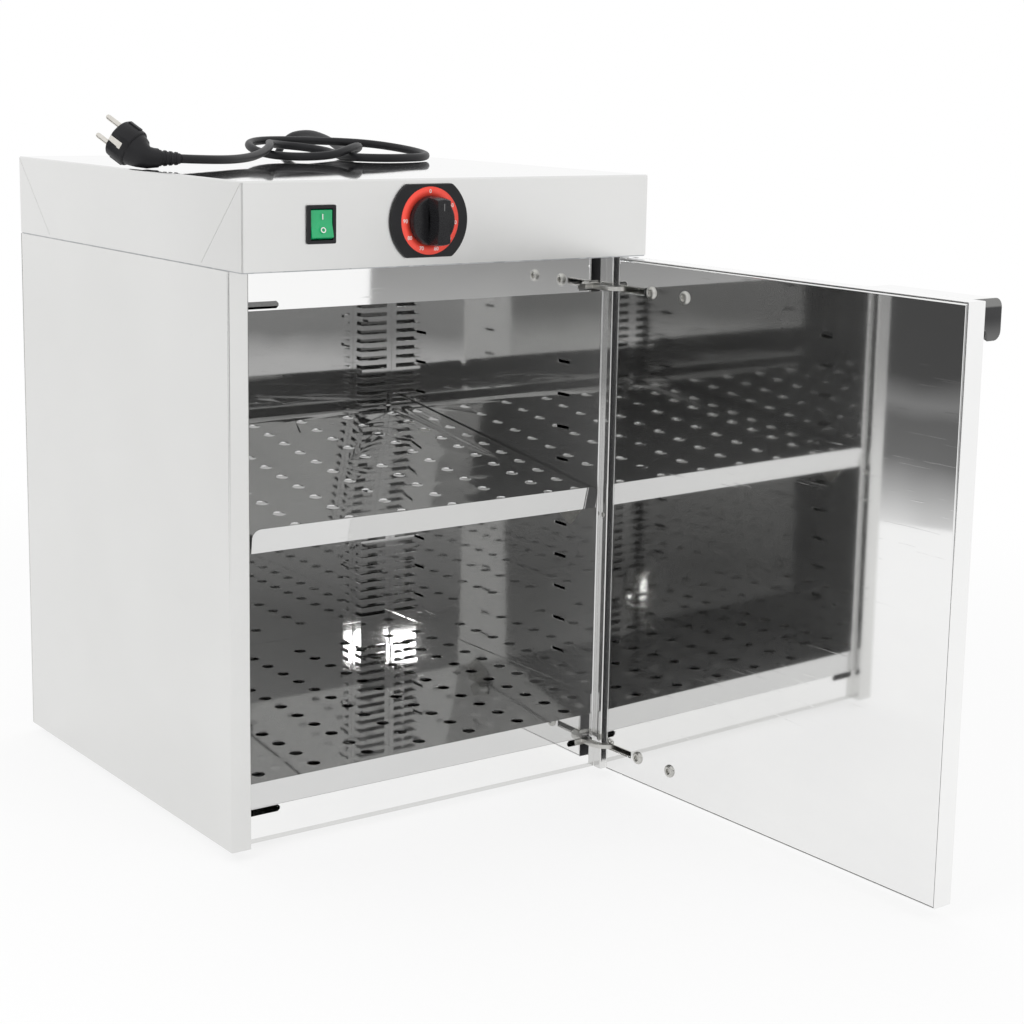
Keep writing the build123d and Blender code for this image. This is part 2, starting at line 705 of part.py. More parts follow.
def hinge_bracket(z, way):
    """Angle behind the rail that carries the arm's root; way is +1 above the arm, -1 below."""
    x1 = RIGHT - FLANGE - WALL_SETBACK - SHEET
    x0 = x1 - ARM_ROOT_WIDTH
    y0 = RAIL_FACE + SHEET
    start = z + way * ARM_THICKNESS / 2
    shelf_part = block(x0, x1, y0, y0 + ARM_ROOT_LENGTH, start, start + way * BRACKET_THICKNESS)
    web = block(x0, x1, y0, y0 + BRACKET_THICKNESS, start, start + way * BRACKET_WEB)
    return shelf_part + web


def handle_profile(wall):
    """Section of the handle in depth and height, shrunk by a wall for its hollow."""
    reach = HANDLE_REACH - wall
    corner = HANDLE_CORNER - wall
    lip = HANDLE_LIP + wall
    root = HANDLE_ROOT + wall
    outline = Polyline(
        (wall, -wall),
        (reach, -wall),
        (reach, -lip),
        (HANDLE_REACH - HANDLE_SLOT, -root if wall == 0 else -lip),
        (wall, -root if wall == 0 else -lip),
        close=True,
    )
    face = make_face(outline)
    outer = face.vertices().sort_by(Axis.X)[-2:].sort_by(Axis.Y)[-1]
    return fillet(outer, corner)


def door_handle():
    """Hollow pull at the top free corner: fingers reach up behind its hanging lip."""
    left = DOOR_FREE + HANDLE_INSET
    right = left + HANDLE_WIDTH
    top = DOOR_TOP - HANDLE_TOP_DROP
    where = Plane(origin=(right, DOOR_OUTER, top), x_dir=(0, -1, 0), z_dir=(-1, 0, 0))
    outer = extrude(where * handle_profile(0), amount=HANDLE_WIDTH)
    inside = extrude(where.offset(HANDLE_WALL) * handle_profile(HANDLE_WALL), amount=HANDLE_WIDTH - 2 * HANDLE_WALL)
    shell = outer - inside
    arch = rod(left - HANDLE_WALL, DOOR_OUTER - HANDLE_ARCH_REACH, top - HANDLE_ARCH_DROP, HANDLE_ARCH,
               HANDLE_WIDTH + 2 * HANDLE_WALL, (1, 0, 0))
    shell -= arch
    return swing(shell)


def handle_screw_places():
    left = DOOR_FREE + HANDLE_INSET
    return (left + HANDLE_WIDTH / 5, left + 4 * HANDLE_WIDTH / 5)


def handle_screw_z():
    return DOOR_TOP - HANDLE_TOP_DROP - HANDLE_ROOT / 2


def screw_head(x, y, z, way):
    """Domed screw head that stands on a face, on the side that way gives along Y."""
    seat = Plane(origin=(x, y, z), z_dir=(0, way, 0))
    return tapered(seat, SCREW_HEAD, SCREW_CROWN, SCREW_HEAD_HEIGHT, ROUND_SIDES)


def door_screws():
    """Heads of the screws of the hinge leaves, on the inner skin, and of the handle, inside it."""
    hinge_heads = [
        screw_head(RIGHT - away, DOOR_INNER, z, 1)
        for z in (TOP_HINGE_Z, BOTTOM_HINGE_Z)
        for away in DOOR_SCREWS
    ]
    handle_heads = [
        screw_head(x, DOOR_OUTER - HANDLE_WALL, handle_screw_z(), -1)
        for x in handle_screw_places()
    ]
    return Compound([swing(head) for head in hinge_heads + handle_heads])


# ---- controls ----
def switch_block(inset, depth_end):
    """Cutter for the switch cut-out, or a core for its hollow."""
    half_w = SWITCH_WIDTH / 2 - inset
    half_h = SWITCH_HEIGHT / 2 - inset
    return block(
        SWITCH_X - half_w, SWITCH_X + half_w, HOOD_FRONT - 4 * SWITCH_BEZEL, depth_end,
        SWITCH_Z - half_h, SWITCH_Z + half_h,
    )


def switch_axis():
    return Axis((SWITCH_X, HOOD_FRONT + ROCKER_AXIS_DEPTH, SWITCH_Z), (1, 0, 0))


def rocker_half_height():
    return SWITCH_HEIGHT / 2 - 2 * SWITCH_WALL - ROCKER_PLAY


def rocker_half_width():
    return SWITCH_WIDTH / 2 - 2 * SWITCH_WALL - ROCKER_PLAY


def switch_housing():
    """Snap-in switch body with its bezel and the seats for the rocker's trunnions."""
    inset = SWITCH_WALL + ROCKER_PLAY
    bezel = block(
        SWITCH_X - SWITCH_WIDTH / 2, SWITCH_X + SWITCH_WIDTH / 2, HOOD_FRONT - SWITCH_BEZEL, HOOD_FRONT,
        SWITCH_Z - SWITCH_HEIGHT / 2, SWITCH_Z + SWITCH_HEIGHT / 2,
    )
    bezel = chamfer(bezel.edges().filter_by(Axis.Y), SWITCH_WALL / 2)
    barrel = block(
        SWITCH_X - SWITCH_WIDTH / 2 + inset + CLIP_FIT, SWITCH_X + SWITCH_WIDTH / 2 - inset - CLIP_FIT,
        HOOD_FRONT, HOOD_FRONT + SWITCH_DEPTH,
        SWITCH_Z - SWITCH_HEIGHT / 2 + inset + CLIP_FIT, SWITCH_Z + SWITCH_HEIGHT / 2 - inset - CLIP_FIT,
    )
    body = bezel + barrel
    half_w = rocker_half_width() + ROCKER_PLAY
    half_h = rocker_half_height() + ROCKER_PLAY
    body -= block(
        SWITCH_X - half_w, SWITCH_X + half_w, HOOD_FRONT - 4 * SWITCH_BEZEL,
        HOOD_FRONT + SWITCH_DEPTH - 2 * SWITCH_WALL, SWITCH_Z - half_h, SWITCH_Z + half_h,
    )
    seat = bored(
        SWITCH_X - half_w - TRUNNION_LENGTH, HOOD_FRONT + ROCKER_AXIS_DEPTH, SWITCH_Z,
        TRUNNION_RADIUS + PIN_FIT, 2 * (half_w + TRUNNION_LENGTH), (1, 0, 0),
    )
    body -= seat
    back = HOOD_FRONT + SWITCH_DEPTH
    for step in (-1, 0, 1):
        z = SWITCH_Z + step * TAB_PITCH
        body += block(
            SWITCH_X - TAB_WIDTH / 2, SWITCH_X + TAB_WIDTH / 2, back, back + TAB_LENGTH,
            z - TAB_THICKNESS / 2, z + TAB_THICKNESS / 2,
        )
    return body


def rocker():
    """Rocker key: two faces that meet in a shallow valley over a drum, pressed in at its top."""
    half_h = rocker_half_height()
    half_w = rocker_half_width()
    axis_y = HOOD_FRONT + ROCKER_AXIS_DEPTH
    drum = rod(SWITCH_X - half_w, axis_y, SWITCH_Z, half_h, 2 * half_w, (1, 0, 0))
    valley = ROCKER_CREST - half_h * math.tan(math.radians(ROCKER_TILT))
    keep = Polyline(
        (axis_y - valley, SWITCH_Z),
        (axis_y - ROCKER_CREST, SWITCH_Z + half_h),
        (axis_y + half_h / 2, SWITCH_Z + half_h),
        (axis_y + half_h / 2, SWITCH_Z - half_h),
        (axis_y - ROCKER_CREST, SWITCH_Z - half_h),
        close=True,
    )
    core = Pos(SWITCH_X - half_w, 0, 0) * extrude(Plane.YZ * make_face(keep), amount=2 * half_w)
    key = drum & core
    reach = half_w + ROCKER_PLAY + TRUNNION_LENGTH - CLIP_FIT
    trunnion = Plane(origin=(SWITCH_X - reach, axis_y, SWITCH_Z), z_dir=(1, 0, 0))
    key += extrude(trunnion * RegularPolygon(TRUNNION_RADIUS, TUBE_SIDES), amount=2 * reach)
    return key.rotate(switch_axis(), -ROCKER_TILT)


def dial_plate():
    """Black dial behind the knob: a round plate cut flat at its top and bottom."""
    disc = Plane.XZ * (Circle(DIAL_DIAMETER / 2) & Rectangle(DIAL_DIAMETER, DIAL_HEIGHT))
    plate = Pos(KNOB_X, HOOD_FRONT, KNOB_Z) * extrude(disc, amount=DIAL_THICKNESS)
    bore = bored(
        KNOB_X, HOOD_FRONT + SHEET, KNOB_Z, SHAFT_RADIUS + SHAFT_CLEAR, 3 * DIAL_THICKNESS, (0, -1, 0)
    )
    return plate - bore


def thermostat_body():
    """Capillary thermostat behind the panel, with the bore that its shaft turns in."""
    width, depth, height = THERMOSTAT_SIZE
    start = HOOD_FRONT + SHEET
    body = block(
        KNOB_X - width / 2, KNOB_X + width / 2, start, start + depth,
        KNOB_Z - height / 2, KNOB_Z + height / 2,
    )
    body = chamfer(body.edges().filter_by(Axis.Y), THERMOSTAT_CORNER)
    bore = bored(KNOB_X, start - SHEET, KNOB_Z, SHAFT_RADIUS + SHAFT_FIT, depth / 2 + SHEET, (0, 1, 0))
    return body - bore


def thermostat_shaft():
    """Shaft that joins the knob to the thermostat."""
    depth = THERMOSTAT_SIZE[1] / 2
    start = HOOD_FRONT + SHEET + depth - 2 * SHEET
    return rod(KNOB_X, start, KNOB_Z, SHAFT_RADIUS, start - knob_back() + KNOB_BASE, (0, -1, 0))


def knob_back():
    return HOOD_FRONT - DIAL_THICKNESS - DIAL_GAP


def knob():
    """Round knob with a raised grip across it, its pointer end towards the top of the dial."""
    back = Plane(origin=(KNOB_X, knob_back(), KNOB_Z), x_dir=(1, 0, 0), z_dir=(0, -1, 0))
    radius = KNOB_DIAMETER / 2
    straight = KNOB_BASE - KNOB_EDGE
    base = extrude(back * flatted(radius, KNOB_SIDES), amount=straight)
    base += tapered(back.offset(straight), radius, radius - KNOB_EDGE, KNOB_EDGE, KNOB_SIDES)
    tall = KNOB_HEIGHT - DIAL_THICKNESS - DIAL_GAP
    grip = extrude(back * Rectangle(KNOB_GRIP, KNOB_DIAMETER), amount=tall)
    grip = chamfer(grip.faces().sort_by(Axis.Y)[0].edges().filter_by(Axis.Z), KNOB_GRIP / 5)
    grip &= extrude(back * flatted(radius - KNOB_GRIP_INSET, KNOB_SIDES), amount=tall)
    return base + grip - extrude(back * flatted(SHAFT_RADIUS), amount=KNOB_BASE)


# ---- heating and wiring ----
def element_z():
    return PAN_FLOOR + ELEMENT_LIFT


def element_route():
    x, z = ELEMENT_HALF_SPAN, element_z()
    front, back = RAIL_FACE + ELEMENT_FRONT, INNER_BACK - ELEMENT_BACK
    return [(-x, back, z), (-x, front, z), (x, front, z), (x, back, z)]


def heating_element():
    """Tubular heating element bent to a wide U under the floor plate, with its ceramic ends."""
    path = FilletPolyline(*element_route(), radius=ELEMENT_BEND)
    start = Plane(origin=path @ 0, z_dir=path % 0)
    tube = sweep(start * flatted(ELEMENT_RADIUS), path=path)
    for x, y, z in (element_route()[0], element_route()[-1]):
        end = Plane(origin=(x, y - SHEET, z), z_dir=(0, 1, 0))
        tube += extrude(end * flatted(ELEMENT_TERMINAL), amount=3 * ELEMENT_TERMINAL)
    return tube


def element_saddles():
    """Four saddles that stand on the base pan and hold the element's legs."""
    z = element_z()
    saddles = []
    front, back = RAIL_FACE + ELEMENT_FRONT, INNER_BACK - ELEMENT_BACK
    for x in (-ELEMENT_HALF_SPAN, ELEMENT_HALF_SPAN):
        for y in (front + SADDLE_INSET, back - SADDLE_INSET):
            half = SADDLE_WIDTH / 2
            leg = block(x - half, x + half, y, y + 2 * SHEET, PAN_FLOOR, z)
            foot = block(x - half, x + half, y, y + LEDGE, PAN_FLOOR, PAN_FLOOR + SHEET)
            mouth = Plane(origin=(x, y - SHEET, z), z_dir=(0, 1, 0))
            groove = extrude(mouth * flatted(ELEMENT_RADIUS + PIN_FIT), amount=4 * SHEET)
            saddles.append(leg + foot - groove)
    return Compound(saddles)


def terminal_block():
    """Terminal strip on the tray, near the lead's entry."""
    length, depth, height = TERMINAL_SIZE
    strip = block(
        GLAND_X - length / 2, GLAND_X + length / 2, BACK - 4 * depth, BACK - 3 * depth,
        TRAY_TOP, TRAY_TOP + height,
    )
    pitch = length / 4
    for step in range(3):
        x = GLAND_X + (step - 1) * pitch
        strip -= block(
            x - TERMINAL_WELL / 2, x + TERMINAL_WELL / 2, BACK - 4 * depth, BACK - 3.5 * depth,
            TRAY_TOP + height / 2, TRAY_TOP + 2 * height,
        )
    return strip


# ---- feet ----
def foot_places():
    x, y = RIGHT - FOOT_INSET, BACK - FOOT_INSET
    return [(-x, -y), (x, -y), (-x, y), (x, y)]


def rubber_feet():
    """Four tapered rubber feet, bonded to the base pan."""
    feet = [
        tapered(Plane(origin=(x, y, 0)), FOOT_RADIUS - FOOT_DRAFT, FOOT_RADIUS, FOOT_HEIGHT)
        for x, y in foot_places()
    ]
    return Compound(feet)


# ---- mains lead ----
def cable_gland():
    """Cable gland on the back panel: hexagon, tapered cap and the shank through the panel."""
    collar = extrude(gland_plane(BACK) * flatted(GLAND_HALF, HEX_SIDES), amount=GLAND_HEX)
    cap = tapered(gland_plane(BACK + GLAND_HEX), GLAND_CAP_HALF, GLAND_CAP_END, GLAND_CAP, HEX_SIDES)
    shank = extrude(gland_plane(BACK) * flatted(GLAND_RADIUS), amount=-SHEET)
    return collar + cap + shank


def gland_nut():
    """Locknut inside the back panel."""
    return extrude(gland_plane(BACK - SHEET) * flatted(GLAND_NUT_HALF, HEX_SIDES), amount=-NUT_HEIGHT)


def cord_guard():
    """Tapered rubber guard where the lead leaves the gland."""
    start = BACK + GLAND_HEX + GLAND_CAP
    tip = CORD_RADIUS + GUARD_WALL
    return tapered(gland_plane(start), GUARD_RADIUS, tip, LEAD_ROUTE[0][1] - start)



def tube(route):
    """Cord along a route: straight runs joined by the largest arcs that they allow."""
    points = [Vector(*point) for point in route]
    radii = []
    for before, here, after in zip(points, points[1:], points[2:]):
        first, second = here - before, after - here
        half_turn = math.radians(first.get_angle(second)) / 2
        radii.append(TURN_SHARE * min(first.length, second.length) / math.tan(half_turn))
    print("cord radii", [round(radius) for radius in radii])
    path = FilletPolyline(*points, radius=radii)
    start = Plane(origin=path @ 0, z_dir=path % 0)
    section = flatted(CORD_RADIUS)
    solid = sweep(start * section, path=path)
    expected = section.area * path.length
    print("cord length", round(path.length), "volume ratio", round(solid.volume / expected, 4))
    return solid


def cord_coil():
    """Outer shape of the loose coil that lies on the hood."""
    ring = SlotOverall(COIL_LENGTH, COIL_WIDTH) - SlotOverall(
        COIL_LENGTH - 2 * COIL_STRAND, COIL_WIDTH - 2 * COIL_STRAND
    )
    return Pos(COIL_X, COIL_Y, HOOD_TOP + COIL_REST) * extrude(ring, amount=COIL_HEIGHT)


def plug_frame():
    """Plane on the plug's face, its normal along the pins, its X axis through both pins."""
    axis = Vector(*PLUG_AXIS).normalized()
    up = Vector(0, 0, 1)
    across = (up - axis * up.dot(axis)).normalized()
    return Plane(origin=PLUG_FACE, x_dir=across, z_dir=axis)


def plug_tail_plane():
    """Plane where the plug's guard meets the cord, square to the cord's first run."""
    start, following = Vector(*TAIL_ROUTE[0]), Vector(*TAIL_ROUTE[1])
    towards = (start - following).normalized()
    up = Vector(0, 0, 1)
    return Plane(origin=start, x_dir=up - towards * up.dot(towards), z_dir=towards)


def plug_body():
    """Moulded plug: a round nose with two flats, a tapered waist and an angled neck with its guard."""
    frame = plug_frame()
    nose_back = frame.offset(-PLUG_NOSE)
    nose = Circle(PLUG_RADIUS) & Rectangle(2 * PLUG_RADIUS, 2 * PLUG_FLAT)
    body = extrude(nose_back * nose, amount=PLUG_NOSE)
    waist_end = nose_back.offset(-PLUG_WAIST)
    body += tapered(waist_end, PLUG_WAIST_RADIUS, PLUG_FLAT, PLUG_WAIST)
    tail = plug_tail_plane()
    neck_length = (waist_end.origin - tail.origin).length - PLUG_GUARD
    body += extrude(tail.offset(PLUG_GUARD) * flatted(PLUG_NECK_RADIUS), amount=neck_length)
    body += extrude(tail * flatted(PLUG_GUARD_RADIUS), amount=PLUG_GUARD)
    for side in (-1, 1):
        body -= frame * earth_strip(side)
    return body


def earth_strip(side):
    """Earth contact let into a flat of the plug's nose."""
    thick, wide, long = EARTH_STRIP
    return Pos(0, side * (PLUG_FLAT - thick / 2), -long / 2) * Box(wide, thick, long)


def plug_pins():
    """Two round pins with tapered tips."""
    frame = plug_frame()
    straight = PLUG_PIN_LENGTH - PLUG_PIN_TIP
    pins = []
    for side in (-1, 1):
        foot = frame.shift_origin(frame.from_local_coords((side * PLUG_PIN_SPACING / 2, 0, 0)))
        pin = extrude(foot * flatted(PLUG_PIN_RADIUS, ROUND_SIDES), amount=straight)
        pin += tapered(
            foot.offset(straight), PLUG_PIN_RADIUS, PLUG_PIN_RADIUS / 2, PLUG_PIN_TIP, ROUND_SIDES
        )
        pins.append(pin)
    return Compound(pins)


def plug_earth_clips():
    """Two earth contacts on the flats of the plug."""
    frame = plug_frame()
    return Compound([frame * earth_strip(side) for side in (-1, 1)])


PARTS = {
    "side_panel_right": side_panel(),
    "side_panel_left": mirrored(side_panel()),
    "back_panel": back_panel(),
    "base_pan": base_pan(),
    "top_rail": top_rail(),
    "bottom_rail": bottom_rail(),
    "inner_wall_right": inner_wall(),
    "inner_wall_left": mirrored(inner_wall()),
    "inner_back": inner_back(),
    "inner_ceiling": inner_ceiling(),
    "floor_plate": floor_plate(),
    "air_duct_right": duct(),
    "air_duct_left": mirrored(duct()),
    "return_rivets": return_rivets(),
    "shelf_clips": shelf_clips(),
    "shelf": shelf(),
    "hood_cover": hood_cover(),
    "hood_tray": hood_tray(),
    "door_outer_pan": door_outer_pan(),
    "door_inner_pan": door_inner_pan(),
    "door_hinge_top": door_hinge(TOP_HINGE_Z),
    "door_hinge_bottom": door_hinge(BOTTOM_HINGE_Z),
    "hinge_pins": hinge_pins(),
    "door_screws": door_screws(),
    "door_handle": door_handle(),
    "hinge_arm_top": hinge_arm(TOP_HINGE_Z),
    "hinge_arm_bottom": hinge_arm(BOTTOM_HINGE_Z),
    "hinge_bracket_top": hinge_bracket(TOP_HINGE_Z, 1),
    "hinge_bracket_bottom": hinge_bracket(BOTTOM_HINGE_Z, -1),
    "switch_housing": switch_housing(),
    "rocker": rocker(),
    "dial_plate": dial_plate(),
    "thermostat_body": thermostat_body(),
    "thermostat_shaft": thermostat_shaft(),
    "knob": knob(),
    "heating_element": heating_element(),
    "element_saddles": element_saddles(),
    "terminal_block": terminal_block(),
    "rubber_feet": rubber_feet(),
    "cable_gland": cable_gland(),
    "gland_nut": gland_nut(),
    "cord_guard": cord_guard(),
    "cord_lead": tube(LEAD_ROUTE),
    "cord_coil": cord_coil(),
    "cord_tail": tube(TAIL_ROUTE),
    "plug_body": plug_body(),
    "plug_pins": plug_pins(),
    "plug_earth_clips": plug_earth_clips(),
}

os.makedirs("parts", exist_ok=True)
for name, part in PARTS.items():
    export_step(part, f"parts/{name}.step")
    print(name, round(part.volume))
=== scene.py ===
import math

import bpy
from mathutils import Matrix, Vector


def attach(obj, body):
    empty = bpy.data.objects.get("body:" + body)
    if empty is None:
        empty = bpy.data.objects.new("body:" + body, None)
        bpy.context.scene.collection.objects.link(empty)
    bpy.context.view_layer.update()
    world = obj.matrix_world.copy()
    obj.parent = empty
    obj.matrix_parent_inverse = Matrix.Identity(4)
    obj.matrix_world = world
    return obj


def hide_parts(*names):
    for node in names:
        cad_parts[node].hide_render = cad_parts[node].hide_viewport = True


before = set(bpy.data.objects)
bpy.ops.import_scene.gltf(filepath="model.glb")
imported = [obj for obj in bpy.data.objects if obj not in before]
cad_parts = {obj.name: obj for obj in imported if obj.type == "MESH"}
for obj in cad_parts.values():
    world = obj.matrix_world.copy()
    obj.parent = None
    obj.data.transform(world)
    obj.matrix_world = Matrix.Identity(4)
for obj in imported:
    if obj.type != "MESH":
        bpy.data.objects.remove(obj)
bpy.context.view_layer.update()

# Plate warmer cabinet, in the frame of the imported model. The scene is in metres. Sizes of pieces are
# written in millimetres, and those of the camera, the finishes and the studio in metres.

MM = 0.001

# ---- sizes shared with the solids, in millimetres ----
HOOD_TOP = 578.0
SHEET = 1.0
KNOB_CENTRE = (-31.0, 542.5)
KNOB_FACE = -241.4
SWITCH_CENTRE = (-135.5, 542.0)
CORD_DIAMETER = 8.0
HOLE_DIAMETER = 12.0
HOLE_COLUMNS = 7
HOLE_ROWS = 11
HOLE_PITCH = (55.4, 31.6)
FIRST_ROW = 20.0
RAIL_FACE = -204.0
FLOOR_TOP = 62.0
SHELF_BEARING = 47.5
SHELF_REST = 270.85
SLOT_PITCH = 31.6
SLOT_COLUMN_GAP = 250.5
SHELF_SLOPE = math.atan(SLOT_PITCH / SLOT_COLUMN_GAP)
DOOR_PIVOT = (202.0, -230.3)
DOOR_ANGLE = 91.7
DOOR_EDGE = 208.0
DOOR_INNER = -215.0
DOOR_OUTER = -236.0
HINGE_HEIGHTS = (474.0, 36.0)
SCREWS_FROM_EDGE = (47.0, 92.0)
PULL_SCREWS = (-168.0, -102.0)
PULL_SCREW_Z = 489.0
PULL_FLOOR = -238.0
RETURN_X = 189.0
PANEL_FRONT = -214.0
RIVET_PLACE = (-208.0, 257.6)
FOOT_PLACE = (160.0, 166.0)
DIAL_FACE = -241.0
ROCKER_AXIS_Y = -235.0
ROCKER_FACE = -241.0
ROCKER_REST = 7.0
PLUG_FACE = (-213.0, -22.0, 604.6)
PLUG_AXIS = (-0.49, 0.684, 0.54)

# ---- camera ----
CAMERA_PLACE = (-0.9861, -1.6965, 0.6670)
CAMERA_TURN = (1.390798, -0.020009, -0.632978)
CAMERA_SENSOR = 36.0
CAMERA_LENS = 72.1
CAMERA_SHIFT = (-0.02803, -0.06416)
CAMERA_FAR_END = 60.0


def place_camera():
    data = bpy.data.cameras.new("camera")
    data.sensor_width = CAMERA_SENSOR
    data.lens = CAMERA_LENS
    data.shift_x, data.shift_y = CAMERA_SHIFT
    data.clip_end = CAMERA_FAR_END
    camera = bpy.data.objects.new("camera", data)
    camera.location = CAMERA_PLACE
    camera.rotation_euler = CAMERA_TURN
    bpy.context.scene.collection.objects.link(camera)
    bpy.context.scene.camera = camera


# ---- cord ----
# The way of the lead: up behind the hood, then its loop on the hood, then on to the plug.
LEAD_ROUTE = [
    (130, 254, 490),
    (130, 300, 490),
    (130, 326.4, 518),
    (131, 326.4, 558),
    (135, 304, 592),
    (139, 262, 599),
    (136, 215, 594),
    (127, 176, 586),
    (119, 148, 584.5),
    (111, 116, 586),
    (98, 86, 590.5),
    (80, 62, 592.3),
    (58, 44, 589.5),
]
TAIL_ROUTE = [
    (80, 23, 582.4),
    (68, 38, 582.4),
    (65, 58, 582.4),
    (70, 78, 582.6),
    (76, 98, 583.8),
    (75, 118, 586),
    (62, 134, 588.5),
    (40, 139, 590.5),
    (18, 126, 592.7),
    (2, 98, 594.1),
    (-16, 63, 592.9),
    (-42, 30, 588),
    (-78, -6, 584.6),
    (-126, -40, 584.8),
    (-166, -46, 586.8),
]
# The loop's two round ends: middle, radius, first angle in degrees, and rises above the hood.
LOOP_ENDS = (
    ((37, 92), 56, -90, (6.5, 4.8, 6.5, 13.0, 16.5, 17.5)),
    ((101, 84), 66, 90, (15.8, 14.0, 9.5, 5.5, 4.4, 4.4)),
)
LOOP_STEP = -36
CORD_ROUND_STEPS = 6
CORD_LENGTH_STEPS = 10


def loop_turn():
    """One loose turn, low where it passes under the tail and raised where it lies over the lead."""
    points = []
    for (x, y), radius, first, rises in LOOP_ENDS:
        for step, rise in enumerate(rises):
            angle = math.radians(first + LOOP_STEP * step)
            place = (x + radius * math.cos(angle), y + radius * math.sin(angle), HOOD_TOP + rise)
            points.append(place)
    return points


def make_cord():
    route = LEAD_ROUTE + loop_turn() + TAIL_ROUTE
    curve = bpy.data.curves.new("mains_lead", "CURVE")
    curve.dimensions = "3D"
    curve.bevel_depth = 1.0
    curve.bevel_resolution = CORD_ROUND_STEPS
    curve.resolution_u = CORD_LENGTH_STEPS
    curve.use_fill_caps = True
    spline = curve.splines.new("NURBS")
    spline.points.add(len(route) - 1)
    for point, (x, y, z) in zip(spline.points, route):
        point.co = (x * MM, y * MM, z * MM, 1.0)
        point.radius = CORD_DIAMETER / 2 * MM
    spline.order_u = 3
    spline.use_endpoint_u = True
    lead = bpy.data.objects.new("mains_lead", curve)
    bpy.context.scene.collection.objects.link(lead)
    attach(lead, "cabinet")
    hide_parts("cord_lead", "cord_coil", "cord_tail")
    return lead


# ---- materials ----
# Sockets of the colour mix node, which are found by number.
MIX_FACTOR, MIX_FIRST, MIX_SECOND = 0, 6, 7
MIX_RESULT = 2


class Link:
    """A socket of a node tree, so that shader sums read as expressions."""

    def __init__(self, recipe, socket):
        self.recipe = recipe
        self.socket = socket

    def sum(self, operation, first, second):
        return self.recipe.node("ShaderNodeMath", {"operation": operation}, {0: first, 1: second})

    def __add__(self, other):
        return self.sum("ADD", self, other)

    __radd__ = __add__

    def __sub__(self, other):
        return self.sum("SUBTRACT", self, other)

    def __mul__(self, other):
        return self.sum("MULTIPLY", self, other)

    __rmul__ = __mul__


class Recipe:
    """A procedural finish and the nodes that it is made of."""

    def __init__(self, name):
        self.material = bpy.data.materials.new(name)
        self.material.use_nodes = True
        self.tree = self.material.node_tree
        self.shader = self.tree.nodes["Principled BSDF"]
        self.place = self.node("ShaderNodeTexCoord", out="Object")

    def node(self, kind, settings=None, values=None, out=0):
        """A new node with its settings and values; stops are the steps of a colour ramp."""
        made = self.tree.nodes.new(kind)
        for name, setting in (settings or {}).items():
            if name == "stops":
                stops = made.color_ramp.elements
                while len(stops) < len(setting):
                    stops.new(1.0)
                for stop, (position, colour) in zip(stops, setting):
                    stop.position = position
                    stop.color = colour
            else:
                setattr(made, name, setting)
        for name, value in (values or {}).items():
            self.feed(made.inputs[name], value)
        return Link(self, made.outputs[out])

    def feed(self, socket, value):
        if isinstance(value, Link):
            self.tree.links.new(value.socket, socket)
        else:
            socket.default_value = value

    def set(self, **values):
        for name, value in values.items():
            self.feed(self.shader.inputs[name.replace("_", " ")], value)

    def stretched(self, scale):
        return self.node("ShaderNodeMapping", {}, {"Vector": self.place, "Scale": scale})

    def noise(self, scale, detail=2.0, vector=None):
        values = {"Vector": vector or self.place, "Scale": scale, "Detail": detail}
        return self.node("ShaderNodeTexNoise", {}, values)

    def between(self, mask, low, high):
        """A smooth step of a mask from 0 at low to 1 at high."""
        return self.node(
            "ShaderNodeMapRange", {"interpolation_type": "SMOOTHSTEP"},
            {"Value": mask, "From Min": low, "From Max": high},
        )

    def mix(self, mask, first, second):
        made = self.tree.nodes.new("ShaderNodeMix")
        made.data_type = "RGBA"
        self.feed(made.inputs[MIX_FACTOR], mask)
        self.feed(made.inputs[MIX_FIRST], first)
        self.feed(made.inputs[MIX_SECOND], second)
        return Link(self, made.outputs[MIX_RESULT])

    def bump(self, relief, strength, depth):
        values = {"Height": relief, "Strength": strength, "Distance": depth}
        return self.node("ShaderNodeBump", {}, values)

    def height(self):
        """How high a place lies, in metres."""
        return self.node("ShaderNodeSeparateXYZ", {}, {"Vector": self.place}, out="Z")

    def show(self, shader):
        """Puts another shader in place of the material's own."""
        self.feed(self.tree.nodes["Material Output"].inputs["Surface"], shader)


GRAIN_DEPTH = 0.0004
# Heights in metres between which the pull turns paler: a painted highlight along its top edge and lower
# lip.
TOP_EDGE_HIGHLIGHT = (0.4935, 0.4955)
LOWER_LIP_HIGHLIGHT = (0.487, 0.468)


def rgb(red, green, blue):
    return (red, green, blue, 1.0)


def sheet_steel(name, dark, light, rough, haze, ripple, scratch=0.04, metal=1.0):
    """Stainless sheet: faint cloudy tone, a slight ripple and a few long scratches."""
    steel = Recipe(name)
    cloud = steel.noise(scale=6.0, detail=3.0)
    smear = steel.noise(scale=22.0, detail=4.0, vector=steel.stretched((1.0, 1.0, 2.5)))
    line = steel.noise(scale=9.0, vector=steel.stretched((2.0, 2.0, 60.0)))
    lines = steel.between(line, low=0.68, high=0.72)
    steel.set(Metallic=metal)
    steel.set(Base_Color=steel.mix(0.7 * cloud + 0.3 * smear, dark, light))
    steel.set(Roughness=rough + haze * (smear - 0.5) + scratch * lines)
    waves = ripple * steel.noise(scale=5.5, detail=1.0) + 0.002 * lines
    steel.set(Normal=steel.bump(waves, strength=0.5, depth=0.004))
    return steel.material


def zinc_plate():
    """Zinc-plated small parts, slightly yellow and uneven."""
    zinc = Recipe("zinc_plate")
    patch = zinc.noise(scale=160.0, detail=3.0)
    zinc.set(Metallic=1.0)
    zinc.set(Base_Color=zinc.mix(patch, rgb(0.42, 0.42, 0.40), rgb(0.72, 0.71, 0.68)))
    zinc.set(Roughness=0.22 + 0.25 * patch)
    zinc.set(Normal=zinc.bump(zinc.noise(scale=700.0), strength=0.15, depth=GRAIN_DEPTH))
    return zinc.material


